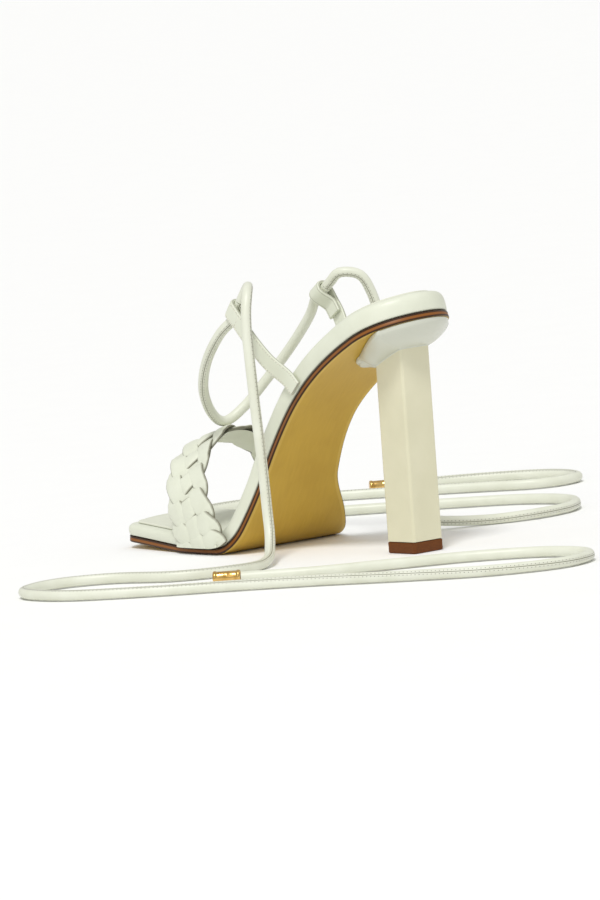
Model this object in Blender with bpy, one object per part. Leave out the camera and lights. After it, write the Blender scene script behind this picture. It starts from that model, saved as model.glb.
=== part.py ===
# Lace up heeled sandal, left shoe, EU 38, block heel. Metres, toe towards +Y, +Z up.
# X is across the shoe: the outer side of the foot is at -X, the inner side at +X.
# The shoe stands on its heel tip and on a flat spot under the ball, both at Z = 0.
import math

import bmesh
import bpy
import numpy as np

# Driving sizes
SOLE_LENGTH = 0.255        # along the underside of the sole, heel to toe
BALL_WIDTH = 0.078         # widest place of the forefoot
HEEL_HEIGHT = 0.112        # floor to the underside of the sole at the back
OUTSOLE = 0.003            # thickness of the hard sole
BED = 0.010                # thickness of the wrapped footbed at the heel
BED_BULGE = 0.0003         # how far the footbed's side swells past the sole
BED_DISH = 0.0016          # hollow of the footbed in the middle
DISH_END = 0.62            # share of the length where the hollow ends
DISH_FADE = 0.3            # stretch over which it grows to its full depth
DISH_BACK = 0.022          # length at the heel over which it grows
SOCK = 0.0009              # thin sock on the footbed
SOCK_MARGIN = 0.0046       # from the sole's edge in to the sock's edge
EDGE_ROUND = 0.0004        # rounding of thin edges
GAP = 0.0003               # left between pieces that touch
HEEL_ROUND = 0.027         # radius of the heel seat in plan
TOE_CORNER = 0.009         # radius of the square toe's corners
TOE_BOW = 0.004            # how far the toe's front edge bows forward
BOW_START = 0.86           # share of the length from which the bow grows
BACK_X = -0.00115          # place of the heel's back in the shoe's own frame
BACK_Y = -0.10550

# Named columns: share of the length, slope in degrees down to the toe,
# half widths to the outer and inner side (shares of the ball width),
# thickness of the footbed (share of its thickness at the heel).
SOLE = [
    dict(share=0.000, slope=15.0, outer=0.350, inner=0.340, bed=1.00),
    dict(share=0.106, slope=24.0, outer=0.360, inner=0.330, bed=1.00),
    dict(share=0.235, slope=34.0, outer=0.375, inner=0.270, bed=0.96),
    dict(share=0.373, slope=48.5, outer=0.372, inner=0.190, bed=0.90),
    dict(share=0.490, slope=58.0, outer=0.395, inner=0.215, bed=0.86),
    dict(share=0.590, slope=53.0, outer=0.445, inner=0.380, bed=0.80),
    dict(share=0.650, slope=27.0, outer=0.475, inner=0.475, bed=0.72),
    dict(share=0.700, slope=0.0, outer=0.482, inner=0.515, bed=0.66),
    dict(share=0.765, slope=0.0, outer=0.475, inner=0.508, bed=0.60),
    dict(share=0.830, slope=-4.0, outer=0.448, inner=0.462, bed=0.57),
    dict(share=0.920, slope=-4.0, outer=0.405, inner=0.400, bed=0.55),
    dict(share=1.000, slope=-3.0, outer=0.370, inner=0.360, bed=0.54),
]

# Section of the footbed's wrapped edge, from below up: inset from the sole's outline,
# and share of the footbed's thickness
BED_EDGE = [
    dict(inset=0.0010, part=0.00),
    dict(inset=0.0002, part=0.10),
    dict(inset=-BED_BULGE, part=0.45),
    dict(inset=0.0003, part=0.80),
    dict(inset=0.0018, part=0.97),
    dict(inset=0.0042, part=1.00),
]

# Heel: a rectangular column with a flared cap under the seat
COLUMN_WIDTH = 0.0182
COLUMN_DEPTH = 0.0195
COLUMN_BACK = 0.0125       # from the sole's back to the column's back
COLUMN_CORNER = 0.0012
COLUMN_LEAN = 0.0014       # how far the column's foot stands ahead of its top
TOP_PIECE = 0.0053         # thickness of the tip under the heel
CAP_RIM = 0.0016           # upright edge of the cap
CAP_DEPTH = 0.0105         # from the sole down to where the column starts
CAP_NOSE = 0.0145          # how far the cap's nose reaches ahead of the column
CAP_NOSE_WIDTH = 0.0205
CAP_FLUSH = 0.0265         # from the back, the stretch where the cap meets the sole's edge
CAP_INSET = 0.0007         # the cap stands in from the sole's edge
CAP_FILLET = 0.0012        # rounding where the cap's underside meets its sides
SEAT_GAP = 0.0005          # between the cap and the sole above it

# Plaited vamp strap. Rows run from the outer side over the foot to the inner side.
# Columns: inward is the share of the half width that the strap has come in,
# front and back are the places of its edges (shares of the plan length),
# front_rise and back_rise their heights (shares of the vamp's rise).
VAMP_RISE = 0.0480
VAMP_WALL = 0.0014
VAMP_CLEAR = 0.0006        # between the strap's inner face and the footbed's side
STRIP_RELIEF = 0.0020
STRIPS = 4
STRIP_SHARE = 0.33         # half width of a strip, as a share of the plait's half width
STRIP_LEAN = 1.2           # steepest slope of a strip across the strap
PLAIT_SWINGS = 2.86        # full swings of a strip, edge to edge and back, along the strap
PLAIT_START = -0.046       # where in its swing the first strip starts
VAMP = [
    dict(along=0.00, inward=0.000, front=0.750, back=0.556, front_rise=0.00, back_rise=0.00),
    dict(along=0.16, inward=0.000, front=0.766, back=0.588, front_rise=0.36, back_rise=0.24),
    dict(along=0.32, inward=0.210, front=0.802, back=0.655, front_rise=0.76, back_rise=0.66),
    dict(along=0.50, inward=1.000, front=0.850, back=0.712, front_rise=0.93, back_rise=1.10),
    dict(along=0.68, inward=1.790, front=0.850, back=0.712, front_rise=0.76, back_rise=0.78),
    dict(along=0.84, inward=2.000, front=0.815, back=0.672, front_rise=0.36, back_rise=0.36),
    dict(along=1.00, inward=2.000, front=0.785, back=0.645, front_rise=0.00, back_rise=0.00),
]

# Side straps: the columns are shares of the strap's rise, of its forward reach,
# and of its flare away from the sole's edge.
STRAP_WIDTH = 0.0090
STRAP_WALL = 0.0018
TAIL_LENGTH = 0.0170       # the folded tail, from the loop's top
TAIL_CLOSE = 0.0082        # below the lace, where the tail meets the strap
SEAM_LENGTH = 0.0050       # stitched stretch that closes the loop
STRAP_LIFT = 0.0008        # the strap's foot stands this far above the outsole
CORD = 0.0050              # diameter of the round lace
SIDE_STRAPS = {
    "side_strap_lateral": dict(side=-1, share=0.284, rise=0.0365, reach=0.0440, flare=0.0020, path=[
        dict(up=0.00, forward=0.00, out=0.0), dict(up=0.14, forward=0.12, out=0.1),
        dict(up=0.34, forward=0.35, out=0.9), dict(up=0.56, forward=0.56, out=1.0),
        dict(up=0.78, forward=0.77, out=0.5), dict(up=1.00, forward=1.00, out=-0.4)]),
    "side_strap_medial": dict(side=1, share=0.300, rise=0.0420, reach=0.0400, flare=0.0110, path=[
        dict(up=0.00, forward=0.00, out=0.00), dict(up=0.13, forward=0.16, out=0.03),
        dict(up=0.32, forward=0.42, out=0.36), dict(up=0.52, forward=0.62, out=0.68),
        dict(up=0.76, forward=0.80, out=0.92), dict(up=1.00, forward=0.98, out=0.95)]),
}

# The lace's bar over the instep: each row lies between the loops and the plait's top.
# Columns: drop from the loops to the plait, forward from the loops to the bar's front,
# across from the middle out to the loops.
BAR_ROWS = [
    dict(drop=0.20, forward=0.26, across=1.07),
    dict(drop=0.43, forward=0.53, across=1.02),
    dict(drop=0.68, forward=0.78, across=0.78),
    dict(drop=0.90, forward=0.94, across=0.40),
]
BAR_FRONT = 0.757          # where the bar rests on the plait, share of the plan length
BAR_POINTS = 52
BAR_END = 0.0012           # the bar reaches this far past each loop

# Free ends of the lace, in metres: out of the loop, down beside the shoe and over the floor
LACE_POINTS = 76
LACE_STRAIGHT = 0.0032     # straight stretch out of the loop
LACE_LATERAL = [
    (-0.0286, -0.0070, 0.1286), (-0.0328, -0.0124, 0.1290), (-0.0382, -0.0166, 0.1232),
    (-0.0418, -0.0194, 0.1112), (-0.0436, -0.0220, 0.0950), (-0.0450, -0.0248, 0.0730),
    (-0.0462, -0.0278, 0.0480), (-0.0486, -0.0316, 0.0240), (-0.0540, -0.0380, 0.0086),
    (-0.0692, -0.0509, 0.0028), (-0.0930, -0.0565, 0.0028), (-0.1179, -0.0424, 0.0028),
    (-0.1324, -0.0135, 0.0028), (-0.1573, 0.0006, 0.0028), (-0.1836, -0.0109, 0.0028),
    (-0.1845, -0.0422, 0.0028), (-0.1628, -0.0749, 0.0028), (-0.1355, -0.1044, 0.0028),
    (-0.1096, -0.1355, 0.0028), (-0.0863, -0.1695, 0.0028), (-0.0603, -0.2006, 0.0028),
    (-0.0283, -0.2156, 0.0028), (-0.0020, -0.2042, 0.0028), (-0.0009, -0.1758, 0.0028),
    (-0.0238, -0.1474, 0.0028), (-0.0562, -0.1266, 0.0028), (-0.0856, -0.1085, 0.0028),
    (-0.1112, -0.0831, 0.0028),
]
LACE_MEDIAL = [
    (0.0270, -0.0114, 0.1296), (0.0314, -0.0164, 0.1296), (0.0368, -0.0190, 0.1226),
    (0.0404, -0.0204, 0.1100), (0.0424, -0.0210, 0.0920), (0.0438, -0.0216, 0.0680),
    (0.0454, -0.0224, 0.0430), (0.0486, -0.0236, 0.0200), (0.0566, -0.0254, 0.0068),
    (0.0801, -0.0363, 0.0028), (0.1049, -0.0476, 0.0028), (0.1344, -0.0444, 0.0028),
    (0.1543, -0.0220, 0.0028), (0.1512, 0.0076, 0.0028), (0.1296, 0.0375, 0.0028),
    (0.1038, 0.0657, 0.0028), (0.0780, 0.0939, 0.0028), (0.0619, 0.1270, 0.0028),
    (0.0657, 0.1584, 0.0028), (0.0966, 0.1630, 0.0028), (0.1305, 0.1410, 0.0028),
    (0.1592, 0.1101, 0.0028), (0.1838, 0.0775, 0.0028), (0.2038, 0.0518, 0.0028),
    (0.2292, 0.0533, 0.0028), (0.2347, 0.0806, 0.0028), (0.2116, 0.1118, 0.0028),
    (0.1790, 0.1353, 0.0028),
]
AGLET_LENGTH = 0.0130
AGLET_WIDTH = 0.0062

for old in list(bpy.data.objects):
    bpy.data.objects.remove(old, do_unlink=True)


def material(name, colour, roughness, metallic=0.0):
    made = bpy.data.materials.new(name)
    made.use_nodes = True
    shader = made.node_tree.nodes["Principled BSDF"]
    shader.inputs["Base Color"].default_value = (*colour, 1.0)
    shader.inputs["Roughness"].default_value = roughness
    shader.inputs["Metallic"].default_value = metallic
    return made


def mesh_object(name, points, faces, finish, smooth_angle=40.0):
    mesh = bpy.data.meshes.new(name)
    mesh.from_pydata([tuple(map(float, point)) for point in points], [], faces)
    shape = bmesh.new()
    shape.from_mesh(mesh)
    bmesh.ops.triangulate(shape, faces=[face for face in shape.faces if len(face.verts) > 4])
    bmesh.ops.recalc_face_normals(shape, faces=shape.faces)
    shape.to_mesh(mesh)
    shape.free()
    mesh.shade_smooth()
    mesh.set_sharp_from_angle(angle=math.radians(smooth_angle))
    mesh.materials.append(finish)
    made = bpy.data.objects.new(name, mesh)
    bpy.context.scene.collection.objects.link(made)
    return made


def column(table, name):
    return np.array([row[name] for row in table])


# Smooth curve through a table's rows that never swings past them: each row's tangent is
# the harmonic mean of the slopes beside it, and level at a turning point.
def smooth(x, xs, ys):
    x = np.asarray(x, float)
    step = np.diff(xs)
    rise = np.diff(ys) / step
    tangent = np.zeros(len(xs))
    same = rise[:-1] * rise[1:] > 0
    left = 2 * step[1:] + step[:-1]
    right = step[1:] + 2 * step[:-1]
    safe = np.where(same, rise[:-1], 1.0), np.where(same, rise[1:], 1.0)
    tangent[1:-1] = np.where(same, (left + right) / (left / safe[0] + right / safe[1]), 0.0)
    tangent[0] = rise[0]
    tangent[-1] = rise[-1]
    spot = np.clip(np.searchsorted(xs, x, side="right") - 1, 0, len(xs) - 2)
    t = (x - xs[spot]) / step[spot]
    return ((1 + 2 * t) * (1 - t) ** 2 * ys[spot] + t * (1 - t) ** 2 * step[spot] * tangent[spot]
            + t * t * (3 - 2 * t) * ys[spot + 1] - t * t * (1 - t) * step[spot] * tangent[spot + 1])


def sole_column(name, share):
    return smooth(np.clip(share, 0.0, 1.0), column(SOLE, "share"), column(SOLE, name))


# The sole's side line: its slopes are summed up along the length, and the slopes of the
# arch are turned by one factor until the back stands at the heel's height.
FINE = np.linspace(0.0, 1.0, 1021)
SLOPE = np.radians(sole_column("slope", FINE))


def side_line(factor):
    slope = np.where(SLOPE > 0, SLOPE * factor, SLOPE)
    middle = (slope[1:] + slope[:-1]) / 2
    step = SOLE_LENGTH / (len(FINE) - 1)
    forward = np.concatenate([[0.0], np.cumsum(np.cos(middle) * step)])
    down = np.concatenate([[0.0], np.cumsum(np.sin(middle) * step)])
    return forward, down.max() - down, slope


low, high = 0.3, 1.4
for _ in range(40):
    turn = (low + high) / 2
    if side_line(turn)[1][0] < HEEL_HEIGHT:
        low = turn
    else:
        high = turn
LINE_Y, LINE_Z, LINE_SLOPE = side_line(turn)
PLAN_LENGTH = LINE_Y[-1]


def share_at(forward):
    return np.interp(forward, LINE_Y, FINE)


# A place on the sole: share along it, x across, lift at right angles to its underside
def on_sole(share, across, lift):
    forward = np.interp(share, FINE, LINE_Y)
    height = np.interp(share, FINE, LINE_Z)
    slope = np.interp(share, FINE, LINE_SLOPE)
    past = np.maximum(share - 1.0, 0.0) * SOLE_LENGTH + np.minimum(share, 0.0) * SOLE_LENGTH
    return np.stack([BACK_X + across,
                     BACK_Y + forward + past * np.cos(slope) + lift * np.sin(slope),
                     height - past * np.sin(slope) + lift * np.cos(slope)], -1)


# Half width of the sole on one side: the table, rounded at the heel and at the toe's corners
def half_width(share, side):
    width = sole_column("outer" if side < 0 else "inner", share) * BALL_WIDTH
    from_back = np.clip(share * SOLE_LENGTH / HEEL_ROUND, 0.0, 1.0)
    from_toe = np.clip((1.0 - share) * SOLE_LENGTH / TOE_CORNER, 0.0, 1.0)
    width = width * np.sqrt(1 - (1 - from_back) ** 2)
    return width - TOE_CORNER * (1 - np.sqrt(1 - (1 - from_toe) ** 2))


# Stations along the sole: close together round the heel and the toe's corners
turns = np.radians([14, 32, 50, 70, 90])
heel_stations = HEEL_ROUND * (1 - np.cos(turns)) / SOLE_LENGTH
corner = np.radians([0, 35, 65, 90])
toe_stations = 1 - TOE_CORNER * (1 - np.sin(corner)) / SOLE_LENGTH
body = np.linspace(heel_stations[-1], toe_stations[0], 21)[1:-1]
flat = [row["share"] for row in SOLE if row["slope"] == 0]
body = np.array([b for b in body if min(abs(b - f) for f in flat) > 0.012] + flat)
STATIONS = np.sort(np.concatenate([heel_stations, toe_stations, body]))
ACROSS = np.linspace(-1.0, 1.0, 7)


# The outline's grid in the sole's own surface: length along it, and x across.
# The front edge bows forward in the middle.
def plan_grid():
    outer = -half_width(STATIONS, -1)
    inner = half_width(STATIONS, 1)
    across = outer[:, None] + (inner - outer)[:, None] * (ACROSS[None, :] + 1) / 2
    fade = np.clip((STATIONS - BOW_START) / (1 - BOW_START), 0.0, 1.0) ** 2
    bow = TOE_BOW * fade[:, None] * (1 - ACROSS[None, :] ** 2)
    length = STATIONS[:, None] * SOLE_LENGTH + bow
    return np.stack([length, across], -1)


def border_index(rows, columns):
    ring = [(i, 0) for i in range(rows)]
    ring += [(rows - 1, j) for j in range(1, columns)]
    ring += [(i, columns - 1) for i in range(rows - 2, -1, -1)]
    ring += [(0, j) for j in range(columns - 2, 0, -1)]
    return ring


# The outline pushed in by a distance. Its rows are spread again from the new back to the
# new toe, and each is as wide as the pushed in sides are there.
def inset_grid(grid, distance):
    rows, columns = grid.shape[:2]
    ring = border_index(rows, columns)
    edge = np.array([grid[i, j] for i, j in ring])
    ahead = np.roll(edge, -1, 0) - np.roll(edge, 1, 0)
    normal = np.stack([ahead[:, 1], -ahead[:, 0]], -1)
    normal /= np.linalg.norm(normal, axis=1)[:, None]
    if normal[rows // 2] @ (grid[rows // 2, -1] - grid[rows // 2, 0]) < 0:
        normal = -normal
    moved = edge + normal * distance
    outer = moved[:rows]
    inner = moved[rows + columns - 2:2 * rows + columns - 2][::-1]
    part = (grid[:, 0, 0] - grid[0, 0, 0]) / (grid[-1, 0, 0] - grid[0, 0, 0])
    back = (outer[0, 0] + inner[0, 0]) / 2
    front = (outer[-1, 0] + inner[-1, 0]) / 2
    along = back + (front - back) * part
    outer_x = np.interp(along, outer[:, 0], outer[:, 1])
    inner_x = np.interp(along, inner[:, 0], inner[:, 1])
    across = outer_x[:, None] + (inner_x - outer_x)[:, None] * (ACROSS[None, :] + 1) / 2
    bow = grid[..., 0] - grid[:, :1, 0]
    return np.stack([along[:, None] + bow, across], -1)


# Hollow for the foot: a parabola across, growing from the heel and ending before the ball
def hollow_at(share):
    toe_fade = np.clip((DISH_END - share) / DISH_FADE, 0.0, 1.0)
    heel_rise = np.clip((share - share[0, 0]) * SOLE_LENGTH / DISH_BACK, 0.0, 1.0)
    return BED_DISH * toe_fade * heel_rise * (2 - heel_rise) * (1 - ACROSS[None, :] ** 2)


# A slab that follows the sole: layers are pairs of inset and lift, from below to above.
# The first and last layer are filled, and rings join the rest. The layers numbered from
# hollow_from on are hollowed for the foot.
def sole_slab(name, layers, finish, hollow_from=99):
    grid = plan_grid()
    rows, columns = grid.shape[:2]
    ring = border_index(rows, columns)
    points = []
    faces = []
    rings = []
    for number, (inset, lift) in enumerate(layers):
        flat_grid = inset_grid(grid, inset)
        share = flat_grid[..., 0] / SOLE_LENGTH
        raised = lift(share) if callable(lift) else np.full(share.shape, lift)
        last = number == len(layers) - 1
        if number >= hollow_from:
            raised = raised - hollow_at(share)
        placed = on_sole(share, flat_grid[..., 1], raised)
        start = len(points)
        if number == 0 or last:
            points += list(placed.reshape(-1, 3))
            for i in range(rows - 1):
                for j in range(columns - 1):
                    quad = [start + i * columns + j, start + (i + 1) * columns + j,
                            start + (i + 1) * columns + j + 1, start + i * columns + j + 1]
                    faces.append(quad if last else quad[::-1])
            rings.append([start + i * columns + j for i, j in ring])
        else:
            points += [placed[i, j] for i, j in ring]
            rings.append(list(range(start, start + len(ring))))
    for lower, upper in zip(rings, rings[1:]):
        for k in range(len(ring)):
            after = (k + 1) % len(ring)
            faces.append([lower[k], lower[after], upper[after], upper[k]])
    return mesh_object(name, points, faces, finish)


# Lift of a layer: a part of the footbed's thickness, and how far above that
def lift_of(part, above=0.0):
    return lambda share: OUTSOLE + GAP + BED * sole_column("bed", share) * part + above


# Catmull-Rom curve through hand placed points, sampled evenly along its length
def smooth_route(route, count):
    route = np.array(route, float)
    before = 2 * route[0] - route[1]
    after = 2 * route[-1] - route[-2]
    padded = np.vstack([before, route, after])
    pieces = []
    for a, b, c, d in zip(padded, padded[1:], padded[2:], padded[3:]):
        t = np.linspace(0, 1, 40, endpoint=False)[:, None]
        pieces.append(0.5 * (2 * b + (c - a) * t + (2 * a - 5 * b + 4 * c - d) * t ** 2
                             + (3 * b - a - 3 * c + d) * t ** 3))
    dense = np.vstack(pieces + [route[-1:]])
    length = np.concatenate([[0.0], np.cumsum(np.linalg.norm(np.diff(dense, axis=0), axis=1))])
    even = np.linspace(0, length[-1], count)
    return np.stack([np.interp(even, length, dense[:, k]) for k in range(3)], -1)


def cord_object(name, points, finish):
    curve = bpy.data.curves.new(name, "CURVE")
    curve.dimensions = "3D"
    curve.bevel_depth = CORD / 2
    curve.bevel_resolution = 2
    curve.use_fill_caps = True
    spline = curve.splines.new("POLY")
    spline.points.add(len(points) - 1)
    for spot, place in zip(spline.points, points):
        spot.co = (*place, 1.0)
    curve.materials.append(finish)
    made = bpy.data.objects.new(name, curve)
    bpy.context.scene.collection.objects.link(made)
    return made


# Closed band from an outer and an inner grid of the same size
def band_object(name, outer, inner, finish, smooth_angle=50.0):
    rows, columns = outer.shape[:2]
    points = list(outer.reshape(-1, 3)) + list(inner.reshape(-1, 3))
    half = rows * columns
    faces = []
    for i in range(rows - 1):
        for j in range(columns - 1):
            quad = [i * columns + j, (i + 1) * columns + j, (i + 1) * columns + j + 1, i * columns + j + 1]
            faces.append(quad)
            faces.append([half + k for k in quad[::-1]])
    ring = [i * columns + j for i, j in border_index(rows, columns)]
    for k, here in enumerate(ring):
        after = ring[(k + 1) % len(ring)]
        faces.append([after, here, half + here, half + after])
    return mesh_object(name, points, faces, finish, smooth_angle)


white_leather = material("white_leather", (0.80, 0.80, 0.72), 0.45)
tan_sole = material("tan_sole", (0.36, 0.25, 0.09), 0.4)
cream_heel = material("cream_heel", (0.74, 0.73, 0.60), 0.3)
brown_tip = material("brown_tip", (0.20, 0.09, 0.03), 0.5)
white_cord = material("white_cord", (0.82, 0.82, 0.76), 0.4)
gold_metal = material("gold_metal", (0.83, 0.62, 0.28), 0.25, 1.0)


def build_sole():
    sole_slab("outsole", [(EDGE_ROUND, 0.0), (0.0, EDGE_ROUND), (0.0, OUTSOLE - EDGE_ROUND),
                          (EDGE_ROUND, OUTSOLE)], tan_sole)
    sole_slab("footbed", [(row["inset"], lift_of(row["part"])) for row in BED_EDGE],
              white_leather, hollow_from=len(BED_EDGE) - 1)
    sole_slab("insole", [(SOCK_MARGIN, lift_of(1.0, GAP)), (SOCK_MARGIN, lift_of(1.0, GAP + SOCK * 0.7)),
                         (SOCK_MARGIN + EDGE_ROUND, lift_of(1.0, GAP + SOCK))],
              white_leather, hollow_from=0)


# Ring of the column: a rectangle with small cut corners, four points to a side
def column_ring(grow_front=0.0, points_a_side=4):
    half = COLUMN_WIDTH / 2
    back = COLUMN_BACK
    front = COLUMN_BACK + COLUMN_DEPTH + grow_front
    cut = COLUMN_CORNER
    corners = [((half - cut, back), (-half + cut, back)), ((-half, back + cut), (-half, front - cut)),
               ((-half + cut, front), (half - cut, front)), ((half, front - cut), (half, back + cut))]
    ring = []
    for start, end in corners:
        for t in np.linspace(0, 1, points_a_side):
            ring.append((start[0] + (end[0] - start[0]) * t, start[1] + (end[1] - start[1]) * t))
    return np.array(ring)


# The heel seat's outline in plan, in the same order as the column's ring: round at the
# back, flush with the sole's edges, then drawn in to the cap's nose.
def seat_ring(points_a_side=4):
    inset = CAP_INSET
    nose = COLUMN_BACK + COLUMN_DEPTH + CAP_NOSE
    ring = []
    for angle in np.radians(np.linspace(50, -50, points_a_side)):
        forward = HEEL_ROUND * (1 - math.cos(angle))
        side = 1 if angle > 0 else -1
        width = float(half_width(share_at(forward * math.cos(LINE_SLOPE[0])), side)) - inset
        ring.append((side * width, forward + inset))
    turning = HEEL_ROUND * (1 - math.cos(math.radians(66)))
    flush = np.linspace(turning, CAP_FLUSH, points_a_side - 1)
    for side in (-1, 1):
        edge = [(side * (float(half_width(share_at(forward), side)) - inset), forward) for forward in flush]
        edge.append((side * CAP_NOSE_WIDTH / 2, nose - CAP_FILLET))
        ring += edge if side < 0 else edge[::-1]
        if side < 0:
            front = CAP_NOSE_WIDTH / 2 - CAP_FILLET
            ring += [(t * front, nose) for t in np.linspace(-1, 1, points_a_side)]
    return np.array(ring)


def under_sole(forward):
    return np.interp(forward, LINE_Y, LINE_Z)


def build_heel():
    seat = seat_ring()
    drop_rim = CAP_RIM / math.cos(LINE_SLOPE[0])
    neck = column_ring()
    neck_z = under_sole(neck[:, 1]) - CAP_DEPTH
    foot_ring = neck + [0.0, COLUMN_LEAN]
    nose = column_ring(grow_front=CAP_NOSE - CAP_FILLET)
    nose_z = under_sole(np.minimum(nose[:, 1], COLUMN_BACK + COLUMN_DEPTH)) - CAP_DEPTH
    middle = (seat + nose) / 2
    middle_z = (under_sole(middle[:, 1]) + nose_z) / 2 - CAP_FILLET
    levels = [
        (seat, under_sole(seat[:, 1]) - SEAT_GAP),
        (seat, under_sole(seat[:, 1]) - drop_rim),
        (middle, np.minimum(middle_z, under_sole(middle[:, 1]) - drop_rim)),
        (nose, nose_z + CAP_FILLET),
        (neck, neck_z),
        (foot_ring, np.full(len(neck), TOP_PIECE + GAP)),
    ]
    points = []
    faces = []
    count = len(neck)
    centre = np.array([0.0, COLUMN_BACK + COLUMN_DEPTH / 2 + CAP_NOSE / 3])
    for part in (0.35, 0.7):
        inner = centre + (seat - centre) * part
        points += [(x, y, z) for (x, y), z in zip(inner, under_sole(inner[:, 1]) - SEAT_GAP)]
    for ring, height in levels:
        points += [(x, y, z) for (x, y), z in zip(ring, height)]
    points = [(BACK_X + x, BACK_Y + y, z) for x, y, z in points]
    for level in range(len(levels) + 1):
        for k in range(count):
            after = (k + 1) % count
            faces.append([level * count + k, level * count + after,
                          (level + 1) * count + after, (level + 1) * count + k])
    top = len(points)
    points.append((BACK_X + centre[0], BACK_Y + centre[1], float(under_sole(centre[1])) - SEAT_GAP))
    for k in range(count):
        faces.append([top, (k + 1) % count, k])
    foot = (len(levels) + 1) * count
    faces.append([foot + k for k in range(count)][::-1])
    mesh_object("heel", points, faces, cream_heel, 25.0)

    tip = [(BACK_X + x, BACK_Y + y, z) for z in (0.0, TOP_PIECE) for x, y in foot_ring]
    sides = [[k, (k + 1) % count, count + (k + 1) % count, count + k] for k in range(count)]
    caps = [list(range(count))[::-1], list(range(count, 2 * count))]
    mesh_object("top_piece", tip, sides + caps, brown_tip, 25.0)


# Place on the inner face of the vamp strap: along runs from the outer to the inner side,
# across from its front edge (0) to its back edge (1)
def vamp_place(along, across):
    rows = column(VAMP, "along")
    inward = smooth(along, rows, column(VAMP, "inward"))
    front = smooth(along, rows, column(VAMP, "front"))
    back = smooth(along, rows, column(VAMP, "back"))
    rise = (smooth(along, rows, column(VAMP, "front_rise")) * (1 - across)
            + smooth(along, rows, column(VAMP, "back_rise")) * across)
    forward = (front + (back - front) * across) * PLAN_LENGTH
    foot = np.where(along < 0.5, VAMP[0]["front"] + (VAMP[0]["back"] - VAMP[0]["front"]) * across,
                    VAMP[-1]["front"] + (VAMP[-1]["back"] - VAMP[-1]["front"]) * across)
    share = share_at(forward)
    outer = half_width(share, -1) + VAMP_CLEAR
    inner = half_width(share, 1) + VAMP_CLEAR
    x = np.where(inward < 1, -outer * (1 - inward), inner * (inward - 1))
    fade = np.clip(1 - np.abs(1 - inward), 0, 1)
    base = np.interp(foot * PLAN_LENGTH, LINE_Y, LINE_Z + OUTSOLE / np.cos(LINE_SLOPE)) + GAP
    ground = base * (1 - fade) + (OUTSOLE + GAP) * fade
    return np.stack([BACK_X + x, BACK_Y + forward, ground + rise * VAMP_RISE], -1)


# Height of the plait's strips, from 0 to 1, with a crowned back: the strips swing from edge
# to edge, evenly spread over the swing, and each rides over one neighbour and under the next.
def plait(swings, across):
    height = np.zeros(np.broadcast(swings, across).shape)
    for strip in range(STRIPS):
        phase = 2 * np.pi * (swings + strip / STRIPS)
        middle = (1 - STRIP_SHARE) * np.sin(phase)
        lean = np.sqrt(1 + (STRIP_LEAN * np.cos(phase)) ** 2)
        off = (across - middle) / (STRIP_SHARE * lean)
        over = np.sin((STRIPS - 1) * (phase - np.pi / 2))
        crown = (1 - WEAVE_SWING) + WEAVE_SWING * over - CROWN_FALL * np.abs(off) ** 3
        height = np.maximum(height, np.where(np.abs(off) < 1.05, crown, 0.0))
    return height


# How far the plait reaches to one side, as a share of its half width: out to its strips' edges
def plait_edge(swings, side):
    reach = np.full(np.shape(swings), PLAIT_LEAST)
    for strip in range(STRIPS):
        phase = 2 * np.pi * (swings + strip / STRIPS)
        reach = np.maximum(reach, side * (1 - STRIP_SHARE) * np.sin(phase) + STRIP_SHARE)
    return reach


WEAVE_SWING = 0.38         # part of the relief by which a strip rides over and under
CROWN_FALL = 0.55          # part of the relief by which a strip's edges lie lower
PLAIT_LEAST = 0.72         # least reach of the plait's edge, as a share of its half width
END_FADE = 0.05            # share of the strap over which its relief fades to each end
END_RELIEF = 0.25          # part of the relief that is left at the ends
EDGE_FADE = 0.12           # share of the width over which the wall thins to its edge
EDGE_WALL = 0.6            # part of the wall that is left at the edges
EDGE_RELIEF = 0.35         # part of the relief that is left at the edges
SIDE_STRETCH = 0.08        # share of the strap at each end that stands on the outsole
VAMP_ROWS = 92
VAMP_COLUMNS = 11


def build_vamp():
    along = np.linspace(0, 1, VAMP_ROWS)[:, None]
    swings = along * PLAIT_SWINGS + PLAIT_START
    front = plait_edge(swings, -1)
    back = plait_edge(swings, 1)
    t = np.linspace(0, 1, VAMP_COLUMNS)[None, :]
    across = -front + (front + back) * t
    inner = vamp_place(along, (across + 1) / 2)
    along_way = np.gradient(inner, axis=0)
    across_way = np.gradient(inner, axis=1)
    normal = np.cross(across_way, along_way)
    normal /= np.linalg.norm(normal, axis=2)[..., None]
    if normal[VAMP_ROWS // 2, VAMP_COLUMNS // 2, 2] < 0:
        normal = -normal
    ends = np.clip(np.minimum(along, 1 - along) / END_FADE, END_RELIEF, 1.0)
    edge = np.clip(np.minimum(t, 1 - t) / EDGE_FADE, 0.0, 1.0)
    wall = VAMP_WALL * (EDGE_WALL + (1 - EDGE_WALL) * edge)
    relief = STRIP_RELIEF * (EDGE_RELIEF + (1 - EDGE_RELIEF) * edge)
    thick = wall + relief * plait(swings, across) * ends
    outer = inner + normal * thick[..., None]
    floor_z = np.interp(outer[..., 1] - BACK_Y, LINE_Y, LINE_Z + OUTSOLE / np.cos(LINE_SLOPE)) + GAP
    low = np.minimum(along, 1 - along) < SIDE_STRETCH
    outer[..., 2] = np.where(low, np.maximum(outer[..., 2], floor_z), outer[..., 2])
    band_object("vamp_braid", outer, inner, white_leather)


def unit(vector):
    return vector / np.linalg.norm(vector)


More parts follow.
